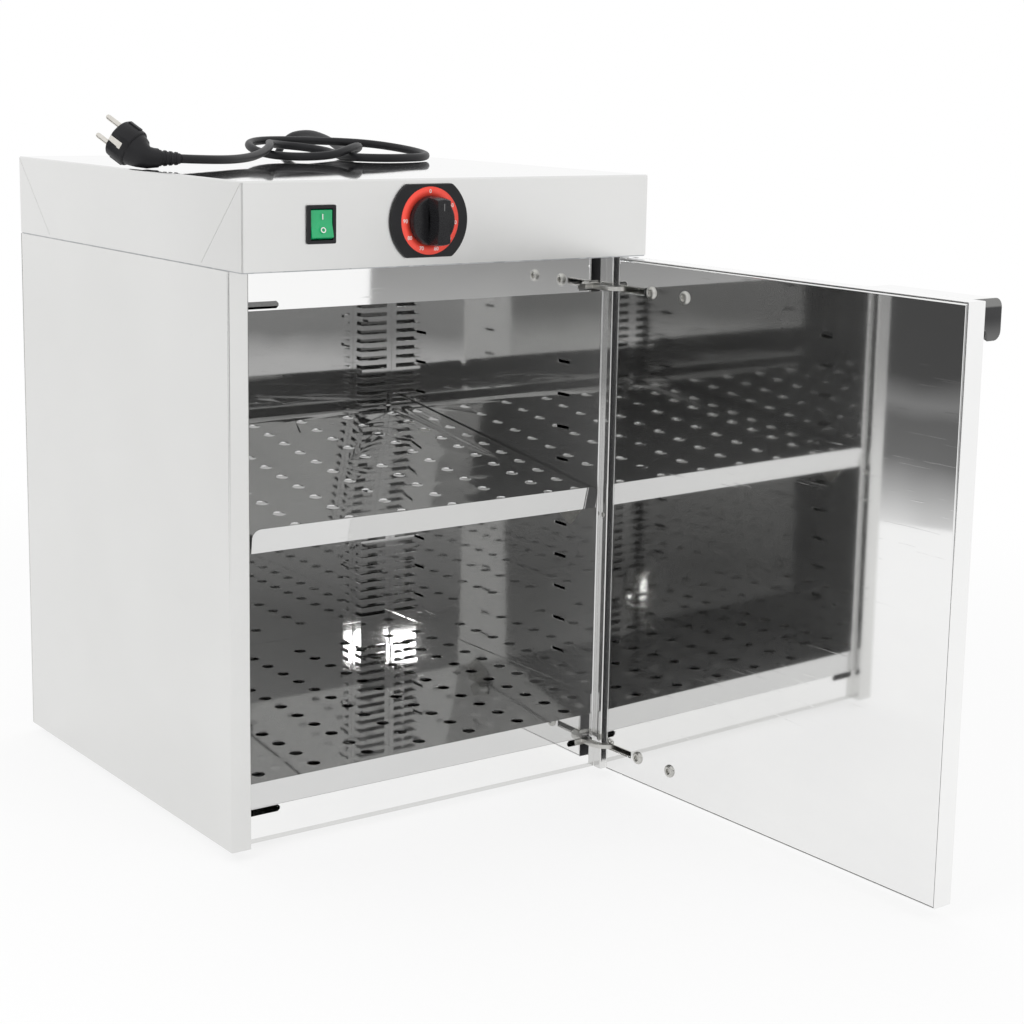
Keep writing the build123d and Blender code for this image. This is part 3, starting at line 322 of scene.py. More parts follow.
def galvanised_sheet():
    """Galvanised sheet with its spangle."""
    spangle = Recipe("galvanised_sheet")
    layout = {"Vector": spangle.place, "Scale": 110.0}
    cells = spangle.node("ShaderNodeTexVoronoi", {}, layout, out="Color")
    tone = spangle.node("ShaderNodeSeparateColor", {}, {"Color": cells}, out="Red")
    spangle.set(Metallic=1.0)
    spangle.set(Base_Color=spangle.mix(tone, rgb(0.40, 0.42, 0.43), rgb(0.66, 0.67, 0.68)))
    spangle.set(Roughness=0.32 + 0.22 * tone)
    return spangle.material


def moulded(name, dark, light, rough, relief, grain_scale):
    """Moulded plastic or rubber with a fine surface grain."""
    moulding = Recipe(name)
    grain = moulding.noise(grain_scale, detail=3.0)
    cloud = moulding.noise(scale=45.0)
    moulding.set(Base_Color=moulding.mix(cloud, dark, light))
    moulding.set(Roughness=rough + 0.16 * (grain - 0.5) + 0.1 * (cloud - 0.5))
    moulding.set(Normal=moulding.bump(grain, relief, GRAIN_DEPTH))
    moulding.set(Specular_IOR_Level=0.25)
    return moulding.material


def printed(name, ink):
    """Screen-printed ink, thin and slightly uneven."""
    paint = Recipe(name)
    speck = paint.noise(scale=900.0)
    thin = rgb(*(0.8 * channel for channel in ink[:3]))
    paint.set(Base_Color=paint.mix(speck * 0.35, ink, thin))
    paint.set(Roughness=0.4 + 0.15 * speck)
    return paint.material


def lens_green():
    """Green rocker with a glossy skin."""
    lens = Recipe("green_lens")
    depth = lens.noise(scale=60.0)
    lens.set(Base_Color=lens.mix(depth, rgb(0.0, 0.30, 0.10), rgb(0.01, 0.46, 0.17)))
    lens.set(Roughness=0.2 + 0.1 * depth)
    lens.set(Coat_Weight=0.4, Coat_Roughness=0.08)
    return lens.material


def heat_tinted():
    """Element sheath, tinted by heat from straw to dark brown."""
    sheath = Recipe("heat_tinted_sheath")
    tint = sheath.noise(scale=14.0, detail=3.0)
    sheath.set(Metallic=1.0)
    sheath.set(Base_Color=sheath.mix(tint, rgb(0.16, 0.13, 0.12), rgb(0.40, 0.34, 0.27)))
    sheath.set(Roughness=0.35 + 0.2 * tint)
    return sheath.material


def nickel():
    """Nickel plate, slightly yellow and rubbed by use."""
    plate = Recipe("nickel_plate")
    rub = plate.noise(scale=240.0, detail=3.0)
    plate.set(Metallic=1.0)
    plate.set(Base_Color=plate.mix(rub, rgb(0.62, 0.59, 0.54), rgb(0.80, 0.78, 0.74)))
    plate.set(Roughness=0.16 + 0.18 * rub)
    return plate.material


def ceramic():
    """Unglazed steatite with fine specks."""
    body = Recipe("steatite")
    speck = body.noise(scale=420.0, detail=3.0)
    body.set(Base_Color=body.mix(speck, rgb(0.80, 0.77, 0.70), rgb(0.90, 0.88, 0.83)))
    body.set(Roughness=0.55 + 0.2 * speck)
    return body.material


def dark_chrome():
    """Dark polished pull, with a painted highlight along its top edge and towards its lower lip."""
    chrome = Recipe("dark_chrome")
    haze = chrome.noise(scale=30.0, detail=3.0)
    up = chrome.height()
    # Painted highlight: the paler bands at the top edge and lower lip stand in for light caught there;
    # the haze is random tone.
    painted_highlight = chrome.between(up, *TOP_EDGE_HIGHLIGHT) + 0.55 * chrome.between(up, *LOWER_LIP_HIGHLIGHT)
    pale = 0.8 * painted_highlight + 0.2 * haze
    chrome.set(Metallic=1.0)
    chrome.set(Base_Color=chrome.mix(pale, rgb(0.035, 0.035, 0.037), rgb(0.26, 0.26, 0.255)))
    chrome.set(Roughness=0.14 + 0.1 * haze)
    return chrome.material


FINISH = {
    "outer": sheet_steel(
        "outer_sheet", rgb(0.70, 0.70, 0.69), rgb(0.79, 0.79, 0.78), rough=0.22, haze=0.06, ripple=0.06
    ),
    "hood": sheet_steel(
        "hood_sheet", rgb(0.75, 0.75, 0.74), rgb(0.84, 0.84, 0.83),
        rough=0.34, haze=0.05, ripple=0.04, scratch=0.02,
    ),
    "hood_top": sheet_steel(
        "hood_top_sheet", rgb(0.72, 0.72, 0.72), rgb(0.81, 0.81, 0.80),
        rough=0.035, haze=0.02, ripple=0.04, scratch=0.02,
    ),
    # Painted shade: a near-black sheet on the door's hinge-side edge, standing for the shade in the gap
    # beside the cabinet.
    "painted_shade_edge": sheet_steel(
        "painted_shade_on_door_edge", rgb(0.030, 0.030, 0.032), rgb(0.055, 0.055, 0.057),
        rough=0.4, haze=0.06, ripple=0.05,
    ),
    "rail": sheet_steel(
        "polished_rail", rgb(0.90, 0.90, 0.90), rgb(0.97, 0.97, 0.96),
        rough=0.05, haze=0.03, ripple=0.10, scratch=0.03,
    ),
    "mirror": sheet_steel(
        "mirror_sheet", rgb(0.66, 0.66, 0.66), rgb(0.74, 0.74, 0.73),
        rough=0.03, haze=0.03, ripple=0.09, scratch=0.05, metal=0.86,
    ),
    "door_face": sheet_steel(
        "door_sheet", rgb(0.84, 0.84, 0.84), rgb(0.92, 0.92, 0.91),
        rough=0.04, haze=0.02, ripple=0.04, scratch=0.03,
    ),
    "door_skin": sheet_steel(
        "door_skin", rgb(0.86, 0.86, 0.86), rgb(0.94, 0.94, 0.93),
        rough=0.13, haze=0.03, ripple=0.05, scratch=0.03,
    ),
    "zinc": zinc_plate(),
    "galvanised": galvanised_sheet(),
    "black_plastic": moulded(
        "black_plastic", rgb(0.009, 0.009, 0.010), rgb(0.020, 0.020, 0.022),
        rough=0.38, relief=0.12, grain_scale=900.0,
    ),
    "black_rubber": moulded(
        "black_rubber", rgb(0.008, 0.008, 0.009), rgb(0.019, 0.019, 0.021),
        rough=0.45, relief=0.1, grain_scale=600.0,
    ),
    "knob_plastic": moulded(
        "knob_plastic", rgb(0.010, 0.010, 0.011), rgb(0.022, 0.022, 0.024),
        rough=0.28, relief=0.08, grain_scale=1200.0,
    ),
    "red_print": printed("red_print", rgb(0.98, 0.085, 0.055)),
    "white_print": printed("white_print", rgb(0.86, 0.86, 0.84)),
    "pointer_print": printed("pointer_print", rgb(0.16, 0.16, 0.16)),
    "green_lens": lens_green(),
    "sheath": heat_tinted(),
    "nickel": nickel(),
    "ceramic": ceramic(),
    "dark_chrome": dark_chrome(),
}

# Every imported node's finish, also of those that a piece below stands for.
NODE_FINISH = {
    "outer": ("side_panel_right", "side_panel_left", "back_panel", "base_pan"),
    "rail": ("top_rail", "bottom_rail"),
    "hood": ("hood_cover",),
    "mirror": (
        "inner_wall_right", "inner_wall_left", "inner_back", "inner_ceiling", "floor_plate",
        "air_duct_right", "air_duct_left", "shelf",
    ),
    "door_face": ("door_inner_pan",),
    "door_skin": ("door_outer_pan",),
    "zinc": (
        "return_rivets", "shelf_clips", "door_hinge_top", "door_hinge_bottom", "hinge_pins",
        "door_screws", "hinge_arm_top", "hinge_arm_bottom", "hinge_bracket_top",
        "hinge_bracket_bottom", "thermostat_body", "thermostat_shaft",
    ),
    "galvanised": ("hood_tray", "element_saddles"),
    "dark_chrome": ("door_handle",),
    "black_plastic": ("switch_housing", "dial_plate", "cable_gland", "gland_nut"),
    "knob_plastic": ("knob",),
    "green_lens": ("rocker",),
    "sheath": ("heating_element",),
    "ceramic": ("terminal_block",),
    "black_rubber": ("rubber_feet", "cord_guard", "cord_lead", "cord_coil", "cord_tail", "plug_body"),
    "nickel": ("plug_pins", "plug_earth_clips"),
}


def coat(piece, finish):
    piece.data.materials.clear()
    piece.data.materials.append(FINISH[finish])


def coat_nodes():
    for finish, nodes in NODE_FINISH.items():
        for name in nodes:
            coat(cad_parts[name], finish)


# ---- working on meshes ----
MERGE_WITHIN = 0.00002
TUBE_MERGE_WITHIN = 0.00001
# Angles between neighbouring faces, in degrees, up to which they are joined or shaded as one.
FLAT_ANGLE = 1.0
SHEET_SMOOTH_ANGLE = 50.0
TURNED_SMOOTH_ANGLE = 32.0
TUBE_SMOOTH_ANGLE = 28.0


def only(piece):
    bpy.ops.object.select_all(action="DESELECT")
    piece.select_set(True)
    bpy.context.view_layer.objects.active = piece


def apply_modifiers(piece):
    only(piece)
    for modifier in list(piece.modifiers):
        bpy.ops.object.modifier_apply(modifier=modifier.name)


def pick(piece, kind, test):
    """Opens edit mode with only the edges or faces selected that pass a test."""
    only(piece)
    bpy.ops.object.mode_set(mode="EDIT")
    bpy.ops.mesh.select_mode(type=kind)
    bpy.ops.mesh.select_all(action="DESELECT")
    bpy.ops.object.mode_set(mode="OBJECT")
    for item in piece.data.edges if kind == "EDGE" else piece.data.polygons:
        item.select = test(item)
    bpy.ops.object.mode_set(mode="EDIT")


def leave_edit():
    bpy.ops.mesh.select_mode(type="VERT")
    bpy.ops.object.mode_set(mode="OBJECT")


def second_finish(piece, finish, test):
    """Gives the faces that pass a test another finish."""
    piece.data.materials.append(FINISH[finish])
    for face in piece.data.polygons:
        if test(face):
            face.material_index = 1


def merged_copy(node, name):
    """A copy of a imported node's mesh, its doubles merged and its flat faces joined."""
    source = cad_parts[node]
    piece = bpy.data.objects.new(name, source.data.copy())
    bpy.context.scene.collection.objects.link(piece)
    only(piece)
    bpy.ops.object.mode_set(mode="EDIT")
    bpy.ops.mesh.select_all(action="SELECT")
    bpy.ops.mesh.remove_doubles(threshold=MERGE_WITHIN)
    bpy.ops.mesh.customdata_custom_splitnormals_clear()
    bpy.ops.mesh.dissolve_limited(angle_limit=math.radians(FLAT_ANGLE))
    bpy.ops.object.mode_set(mode="OBJECT")
    return piece


def soften(piece, width, segments=2, angle=32.0):
    """Small rounds on the edges whose faces meet at more than an angle in degrees."""
    rounds = piece.modifiers.new("edges", "BEVEL")
    rounds.width = width * MM
    rounds.segments = segments
    rounds.limit_method = "ANGLE"
    rounds.angle_limit = math.radians(angle)
    rounds.harden_normals = False
    rounds.use_clamp_overlap = True
    apply_modifiers(piece)
    only(piece)
    bpy.ops.object.shade_smooth_by_angle(angle=math.radians(SHEET_SMOOTH_ANGLE))
    flats = piece.modifiers.new("flats", "WEIGHTED_NORMAL")
    flats.keep_sharp = True
    apply_modifiers(piece)


def stand_in(piece, node, finish, body):
    """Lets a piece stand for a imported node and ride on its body."""
    coat(piece, finish)
    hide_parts(node)
    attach(piece, body)


# ---- shaping pieces by hand ----
def facing_front(x, y, z):
    """A place whose Z axis comes out of the front and whose Y axis points up."""
    return Matrix.Translation((x * MM, y * MM, z * MM)) @ Matrix.Rotation(math.radians(90), 4, "X")


def swung(matrix):
    """The same place on the door once it stands open."""
    pivot = Vector((DOOR_PIVOT[0] * MM, DOOR_PIVOT[1] * MM, 0))
    turn = Matrix.Rotation(math.radians(DOOR_ANGLE), 4, "Z")
    return Matrix.Translation(pivot) @ turn @ Matrix.Translation(-pivot) @ matrix


def settle(piece, where):
    """Puts a piece in its place and leaves that place in its mesh."""
    piece.matrix_world = where
    only(piece)
    bpy.ops.object.transform_apply(location=True, rotation=True, scale=True)
    return piece


def turned(name, profile, where, sides=40, capped=True):
    """A turned piece: a circle drawn out ring by ring along (radius, height) steps."""
    bpy.ops.object.select_all(action="DESELECT")
    radius, height = profile[0]
    bpy.ops.mesh.primitive_circle_add(
        vertices=sides, radius=radius * MM, fill_type="NOTHING", location=(0, 0, height * MM)
    )
    piece = bpy.context.object
    piece.name = name
    bpy.ops.object.transform_apply(location=True, rotation=True, scale=True)
    bpy.ops.object.mode_set(mode="EDIT")
    bpy.ops.mesh.select_all(action="SELECT")
    for wider, higher in profile[1:]:
        bpy.ops.mesh.extrude_region_move(
            TRANSFORM_OT_translate={"value": (0, 0, (higher - height) * MM)}
        )
        share = wider / radius
        bpy.ops.transform.resize(value=(share, share, 1), center_override=(0, 0, higher * MM))
        radius, height = wider, higher
    bpy.ops.mesh.select_all(action="SELECT")
    if capped:
        bpy.ops.mesh.fill_holes(sides=0)
        bpy.ops.mesh.select_all(action="SELECT")
    bpy.ops.mesh.normals_make_consistent(inside=False)
    bpy.ops.object.mode_set(mode="OBJECT")
    settle(piece, where)
    bpy.ops.object.shade_smooth_by_angle(angle=math.radians(TURNED_SMOOTH_ANGLE))
    return piece


def slab(name, size, where, rounding=0, taper=1.0):
    """A block that stands on its place, with rounded edges and a narrower outer end if wanted."""
    bpy.ops.object.select_all(action="DESELECT")
    bpy.ops.mesh.primitive_cube_add(size=1)
    piece = bpy.context.object
    piece.name = name
    piece.scale = [side * MM for side in size]
    piece.location = (0, 0, size[2] / 2 * MM)
    bpy.ops.object.transform_apply(location=True, rotation=True, scale=True)
    for point in piece.data.vertices:
        point.select = point.co.z > size[2] / 2 * MM
    bpy.ops.object.mode_set(mode="EDIT")
    bpy.ops.transform.resize(value=(taper, 1, 1), center_override=(0, 0, size[2] * MM))
    bpy.ops.object.mode_set(mode="OBJECT")
    settle(piece, where)
    if rounding:
        soften(piece, rounding, segments=3, angle=20.0)
    return piece


def tube_of(name, stations, steps=6):
    """A round body that changes along a bent line of stations, each a place and a radius."""
    curve = bpy.data.curves.new(name, "CURVE")
    curve.dimensions = "3D"
    curve.bevel_depth = MM
    curve.bevel_resolution = steps
    curve.use_fill_caps = True
    spline = curve.splines.new("POLY")
    spline.points.add(len(stations) - 1)
    for point, (x, y, z, radius) in zip(spline.points, stations):
        point.co = (x * MM, y * MM, z * MM, 1.0)
        point.radius = radius
    piece = bpy.data.objects.new(name, curve)
    bpy.context.scene.collection.objects.link(piece)
    only(piece)
    bpy.ops.object.convert(target="MESH")
    piece = bpy.context.object
    bpy.ops.object.mode_set(mode="EDIT")
    bpy.ops.mesh.select_all(action="SELECT")
    bpy.ops.mesh.remove_doubles(threshold=TUBE_MERGE_WITHIN)
    bpy.ops.mesh.normals_make_consistent(inside=False)
    bpy.ops.object.mode_set(mode="OBJECT")
    bpy.ops.object.shade_smooth_by_angle(angle=math.radians(TUBE_SMOOTH_ANGLE))
    return piece


def joined(name, parts):
    """Several meshes made into one piece."""
    bpy.ops.object.select_all(action="DESELECT")
    for part in parts:
        part.select_set(True)
    bpy.context.view_layer.objects.active = parts[0]
    bpy.ops.object.join()
    parts[0].name = name
    return parts[0]


def cut(piece, tool, operation="DIFFERENCE"):
    """Takes a tool's shape out of a piece, or keeps only what lies inside it."""
    change = piece.modifiers.new("cut", "BOOLEAN")
    change.operation = operation
    change.solver = "EXACT"
    change.object = tool
    apply_modifiers(piece)
    bpy.data.objects.remove(tool)


# ---- sheets and mouldings with softened edges ----
# Node, finish, slot, body and the width of its edge rounds in millimetres.
SOFTENED = (
    ("side_panel_right", "outer", "stainless_outer", "cabinet", 0.3),
    ("side_panel_left", "outer", "stainless_outer", "cabinet", 0.3),
    ("back_panel", "outer", "stainless_outer", "cabinet", 0.3),
    ("top_rail", "rail", "stainless_outer", "cabinet", 0.3),
    ("bottom_rail", "rail", "stainless_outer", "cabinet", 0.3),
    ("hood_cover", "hood", "stainless_outer", "cabinet", 0.25),
    ("inner_wall_right", "mirror", "stainless_inner", "cabinet", 0.3),
    ("inner_wall_left", "mirror", "stainless_inner", "cabinet", 0.3),
    ("air_duct_right", "mirror", "stainless_inner", "cabinet", 0.3),
    ("air_duct_left", "mirror", "stainless_inner", "cabinet", 0.3),
    ("shelf_clips", "zinc", "zinc_fittings", "cabinet", 0.25),
    ("door_outer_pan", "door_skin", "stainless_outer", "door", 0.3),
    ("door_inner_pan", "door_face", "stainless_outer", "door", 0.3),
    ("hinge_arm_top", "zinc", "zinc_fittings", "cabinet", 0.5),
    ("hinge_arm_bottom", "zinc", "zinc_fittings", "cabinet", 0.5),
    ("switch_housing", "black_plastic", "black_plastic", "cabinet", 0.35),
    ("rocker", "green_lens", "green_rocker", "rocker", 0.5),
    ("dial_plate", "black_plastic", "black_plastic", "cabinet", 1.2),
    ("cable_gland", "black_plastic", "black_plastic", "cabinet", 0.8),
)
# Rounds wider than this get a third segment.
WIDE_ROUND = 0.6
PANEL_BEND = 3.0
NEAR = 0.05
# The least share of a face's normal that lies along a direction when the face looks that way.
TOWARDS = 0.7
SQUARELY = 0.9


def bend_corner(piece):
    """Rounds the long upright corner where a side panel turns in beside the opening."""
    points = piece.data.vertices

    def at_corner(point):
        x, y = point.co.x / MM, point.co.y / MM
        return abs(abs(x) - RETURN_X) < NEAR and y < PANEL_FRONT + NEAR

    pick(piece, "EDGE", lambda edge: all(at_corner(points[end]) for end in edge.vertices))
    bpy.ops.mesh.bevel(offset=PANEL_BEND * MM, segments=4)
    leave_edit()


def faces_opening(face):
    return face.normal.x < -SQUARELY and abs(face.center.x - RETURN_X * MM) < MM


def faces_up(face):
    return face.normal.z > TOWARDS


def faces_back(face):
    """True on the edge beside the hinge, which looks to the back while the door stands open."""
    return face.normal.y > TOWARDS


# The nodes of which some faces have another finish.
SECOND_FINISH = {
    "side_panel_right": ("mirror", faces_opening),
    "hood_cover": ("hood_top", faces_up),
    # Painted shade: the door's hinge-side edge takes the near-black finish.
    "door_outer_pan": ("painted_shade_edge", faces_back),
}


def softened_nodes():
    for node, finish, slot, body, width in SOFTENED:
        piece = merged_copy(node, node + "_sheet")
        if node.startswith("side_panel"):
            bend_corner(piece)
        soften(piece, width, segments=3 if width > WIDE_ROUND else 2)
        stand_in(piece, node, finish, body)
        if node in SECOND_FINISH:
            second_finish(piece, *SECOND_FINISH[node])


# ---- perforated sheets ----
PUNCH_EXTRA = 0.03
PUNCH_SIDES = 24
HOLE_ROUND = 0.2


def punch(where, length):
    """One round punch for a perforation, pointing along the place's Z axis."""
    radius = HOLE_DIAMETER / 2 + PUNCH_EXTRA
    return turned("punch", [(radius, -length / 2), (radius, length / 2)], where, PUNCH_SIDES)


def punches(plane):
    """All the punches of a perforated sheet; plane is the place of its front edge's middle."""
    tools = []
    for column in range(HOLE_COLUMNS):
        for row in range(HOLE_ROWS):
            x = (column - (HOLE_COLUMNS - 1) / 2) * HOLE_PITCH[0]
            y = FIRST_ROW + row * HOLE_PITCH[1]
            tools.append(punch(plane @ Matrix.Translation((x * MM, y * MM, 0)), 4 * SHEET))
    return joined("punches", tools)


def perforated_sheets():
    floor = merged_copy("floor_plate", "floor_plate_sheet")
    cut(floor, punches(Matrix.Translation((0, RAIL_FACE * MM, (FLOOR_TOP - SHEET / 2) * MM))))
    soften(floor, HOLE_ROUND)
    stand_in(floor, "floor_plate", "mirror", "cabinet")
    shelf = merged_copy("shelf", "shelf_sheet")
    line = Matrix.Translation((0, (RAIL_FACE + SHELF_BEARING) * MM, SHELF_REST * MM))
    tilt = line @ Matrix.Rotation(SHELF_SLOPE, 4, "X")
    plane = tilt @ Matrix.Translation((0, -(SHELF_BEARING + SHEET) * MM, SHEET / 2 * MM))
    cut(shelf, punches(plane))
    soften(shelf, HOLE_ROUND)
    stand_in(shelf, "shelf", "mirror", "shelf")


# ---- controls ----
# Numbers of the dial and their places, in degrees clockwise from the top.
DIAL_MARKS = (
    ("0", 0), ("30", 60), ("40", 95), ("50", 130), ("60", 165), ("70", 200), ("80", 235), ("90", 270),
)
DIAL_RING = (20.5, 28.7)
DIAL_NUMBERS_RADIUS = 24.7
DIAL_NUMBER_HEIGHT = 4.6
LETTER_DEPTH = 0.03
LETTER_BOLDNESS = 0.04
INK_LIFT = 0.05
INK_DEPTH = 0.08
# Rings of turned pieces, as steps of radius and height.
KNOB_BASE = ((19.6, 0), (20.8, 0.5), (21.0, 1.2), (21.0, 4.8), (20.7, 6.2), (19.9, 6.9), (18.6, 7.1))
KNOB_SIDES = 64
GRIP_SIZE = (15.5, 44.0, 21.4)
GRIP_TAPER = 0.82
GRIP_ENDS = ((20.9, -1), (20.9, 6), (20.4, 14), (19.4, 20.2), (18.2, 22))
# The wide round tool that hollows either flank of the grip, and how far beside the grip it stands.
GRIP_FLANK = ((60.0, 7.1), (60.0, 24))
GRIP_FLANK_AWAY = 65.2
GRIP_FLANK_SIDES = 160
KNOB_MARK = (0.9, 6.0, 0.3)
KNOB_MARK_RISE = 12.5
KNOB_MARK_FRONT = 21.3
ROCKER_LINE = (0.9, 4.6, 0.12)
ROCKER_LINE_RISE = 6.4
ROCKER_RING = ((1.5, 0), (2.4, 0), (2.4, 0.1), (1.5, 0.1))
ROCKER_RING_RISE = -6.0
ROCKER_PRINT_LIFT = 0.03


def dial_number(words, where):
    bpy.ops.object.select_all(action="DESELECT")
    bpy.ops.object.text_add()
    piece = bpy.context.object
    piece.name = "dial_number_" + words
    piece.data.body = words
    piece.data.size = DIAL_NUMBER_HEIGHT * MM
    piece.data.align_x = "CENTER"
    piece.data.align_y = "CENTER"
    piece.data.extrude = LETTER_DEPTH * MM
    piece.data.offset = LETTER_BOLDNESS * MM
    bpy.ops.object.convert(target="MESH")
    piece = bpy.context.object
    settle(piece, where)
    coat(piece, "white_print")
    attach(piece, "cabinet")


def dial_print():
    """Red temperature ring and its numbers."""
    x, z = KNOB_CENTRE
    face = DIAL_FACE - INK_LIFT
    rings = [(radius, 0) for radius in DIAL_RING]
    ring = turned("dial_ring", rings, facing_front(x, face, z), sides=72, capped=False)
    ink = ring.modifiers.new("ink", "SOLIDIFY")
    ink.thickness = INK_DEPTH * MM
    apply_modifiers(ring)
    coat(ring, "red_print")
    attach(ring, "cabinet")
    for words, clock in DIAL_MARKS:
        across = DIAL_NUMBERS_RADIUS * math.sin(math.radians(clock))
        up = DIAL_NUMBERS_RADIUS * math.cos(math.radians(clock))
        dial_number(words, facing_front(x + across, face - INK_DEPTH, z + up))


def knob_shape():
    """Round base, a grip with hollow flanks across it, and the pointer."""
    x, z = KNOB_CENTRE
    front = facing_front(x, KNOB_FACE, z)
    base = turned("knob_base", KNOB_BASE, front, KNOB_SIDES)
    grip = slab("knob_grip", GRIP_SIZE, front, taper=GRIP_TAPER)
    cut(grip, turned("round_off", GRIP_ENDS, front, KNOB_SIDES), "INTERSECT")
    for side in (-1, 1):
        beside = front @ Matrix.Translation((side * GRIP_FLANK_AWAY * MM, 0, 0))
        cut(grip, turned("hollow", GRIP_FLANK, beside, GRIP_FLANK_SIDES))
    soften(grip, width=1.1, segments=3, angle=25.0)
    knob = joined("knob_moulding", [base, grip])
    stand_in(knob, "knob", "knob_plastic", "knob")
    on_grip = facing_front(x, KNOB_FACE - KNOB_MARK_FRONT, z + KNOB_MARK_RISE)
    mark = slab("knob_mark", KNOB_MARK, on_grip, rounding=0.08)
    coat(mark, "pointer_print")
    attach(mark, "knob")


def rocker_place(rise, lean):
    """A place on one half of the rocker's face, which leans from the other half."""
    x, z = SWITCH_CENTRE
    axle = Matrix.Translation((0, ROCKER_AXIS_Y * MM, z * MM))
    tilt = axle @ Matrix.Rotation(math.radians(-ROCKER_REST), 4, "X") @ axle.inverted()
    half = Matrix.Rotation(math.radians(lean), 4, "X")
    reach = ROCKER_AXIS_Y - ROCKER_FACE
    return tilt @ axle @ half @ facing_front(x, -reach - ROCKER_PRINT_LIFT, rise)


def rocker_print():
    """White line and ring on the two halves of the rocker."""
    upper = rocker_place(ROCKER_LINE_RISE, ROCKER_REST)
    lower = rocker_place(ROCKER_RING_RISE, -ROCKER_REST)
    line = slab("rocker_line", ROCKER_LINE, upper)
    ring = turned("rocker_ring", ROCKER_RING, lower, sides=36, capped=False)
    for sign in (line, ring):
        coat(sign, "white_print")
        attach(sign, "rocker")


# ---- door pull ----
PULL_LEFT = -190.0
PULL_WIDTH = 110.0
PULL_REACH = 37.0
PULL_HEIGHT = 34.0
PULL_TOP = 501.5
PULL_WALL = 2.0
PULL_ROUND = 8.0
PULL_EDGE_NEAR = 1.0
PULL_BOTTOM_DOWNWARDS = -0.999
PULL_TOP_UPWARDS = 0.8
# The notch through both ends: its length from the door, its height, and the round of its corners.
NOTCH_REACH = 22.0
NOTCH_RISE = 9.5
NOTCH_ROUND = 4.0
NOTCH_OVERLAP = 1.0
NOTCH_PAST_END = 5.0


def pull_block():
    """The pull's outer shape as a block with its two long outer edges rounded."""
    bpy.ops.object.select_all(action="DESELECT")
    bpy.ops.mesh.primitive_cube_add(size=1)
    pull = bpy.context.object
    pull.name = "pull_handle"
    pull.scale = (PULL_WIDTH * MM, PULL_REACH * MM, PULL_HEIGHT * MM)
    pull.location = (
        (PULL_LEFT + PULL_WIDTH / 2) * MM,
        (DOOR_OUTER - PULL_REACH / 2) * MM,
        (PULL_TOP - PULL_HEIGHT / 2) * MM,
    )
    bpy.ops.object.transform_apply(location=True, rotation=True, scale=True)
    points = pull.data.vertices

    def long_outer_edge(edge):
        first, second = (points[end].co for end in edge.vertices)
        outer = (DOOR_OUTER - PULL_REACH + PULL_EDGE_NEAR) * MM
        return max(first.y, second.y) < outer and abs(first.z - second.z) < PULL_EDGE_NEAR * MM

    pick(pull, "EDGE", long_outer_edge)
    bpy.ops.mesh.bevel(offset=PULL_ROUND * MM, segments=7)
    leave_edit()
    return pull


def notch_tool():
    place = Matrix.Translation((
        (PULL_LEFT - NOTCH_PAST_END) * MM,
        (DOOR_OUTER - NOTCH_REACH / 2 + NOTCH_OVERLAP) * MM,
        (PULL_TOP - PULL_HEIGHT) * MM,
    ))
    size = (2 * NOTCH_RISE, NOTCH_REACH, PULL_WIDTH + 2 * NOTCH_PAST_END)
    return slab("notch", size, place @ Matrix.Rotation(math.pi / 2, 4, "Y"), NOTCH_ROUND)


def pull_handle():
    """Hollow pull: a rounded hood open below, its ends notched beside the door."""
    pull = pull_block()
    pick(pull, "FACE", lambda face: face.normal.z < PULL_BOTTOM_DOWNWARDS)
    bpy.ops.mesh.delete(type="FACE")
    leave_edit()
    wall = pull.modifiers.new("wall", "SOLIDIFY")
    wall.thickness = PULL_WALL * MM
    wall.offset = -1.0
    wall.use_even_offset = True
    apply_modifiers(pull)
    cut(pull, notch_tool())
    soften(pull, width=0.3)
    settle(pull, swung(Matrix.Identity(4)))
    stand_in(pull, "door_handle", "dark_chrome", "door")
    # Painted highlight: the pull's upward faces take the bright door steel so that its top reads lit.
    second_finish(pull, "door_face", lambda face: face.normal.z > PULL_TOP_UPWARDS)


# ---- fasteners, feet and lead fittings ----
# Rings of turned pieces, as steps of radius and height.
SCREW_HEAD = (
    (6.0, 0), (6.0, 0.5), (5.6, 1.5), (4.8, 2.2), (3.9, 2.5), (3.1, 2.5), (2.7, 2.2), (2.5, 0.6),
)
SCREW_SIDES = 32
RIVET_HEAD = ((2.5, 0), (2.4, 0.3), (1.9, 0.7), (1.1, 0.9), (0.9, 0.6))
FOOT = ((5.5, 5.0), (5.5, 0.8), (6.2, 0), (12.4, 0), (13.2, 0.7), (15.0, 8.0))


def door_heads():
    """Domed heads with a socket, four on the door's inner face and two inside the pull."""
    parts = []
    for height in HINGE_HEIGHTS:
        for away in SCREWS_FROM_EDGE:
            face = Matrix.Translation(((DOOR_EDGE - away) * MM, DOOR_INNER * MM, height * MM))
            place = swung(face @ Matrix.Rotation(-math.pi / 2, 4, "X"))
            parts.append(turned("head", SCREW_HEAD, place, SCREW_SIDES))
    for x in PULL_SCREWS:
        place = swung(facing_front(x, PULL_FLOOR, PULL_SCREW_Z))
        parts.append(turned("head", SCREW_HEAD, place, SCREW_SIDES))
    stand_in(joined("door_screw_heads", parts), "door_screws", "zinc", "door")


def return_rivet_heads():
    """A hollow rivet in the return of each side panel."""
    parts = []
    for way in (-1, 1):
        turn = Matrix.Rotation(-way * math.pi / 2, 4, "Y")
        place = Matrix.Translation((way * RETURN_X * MM, RIVET_PLACE[0] * MM, RIVET_PLACE[1] * MM))
        parts.append(turned("rivet", RIVET_HEAD, place @ turn, sides=24))
    stand_in(joined("rivet_heads", parts), "return_rivets", "zinc", "cabinet")


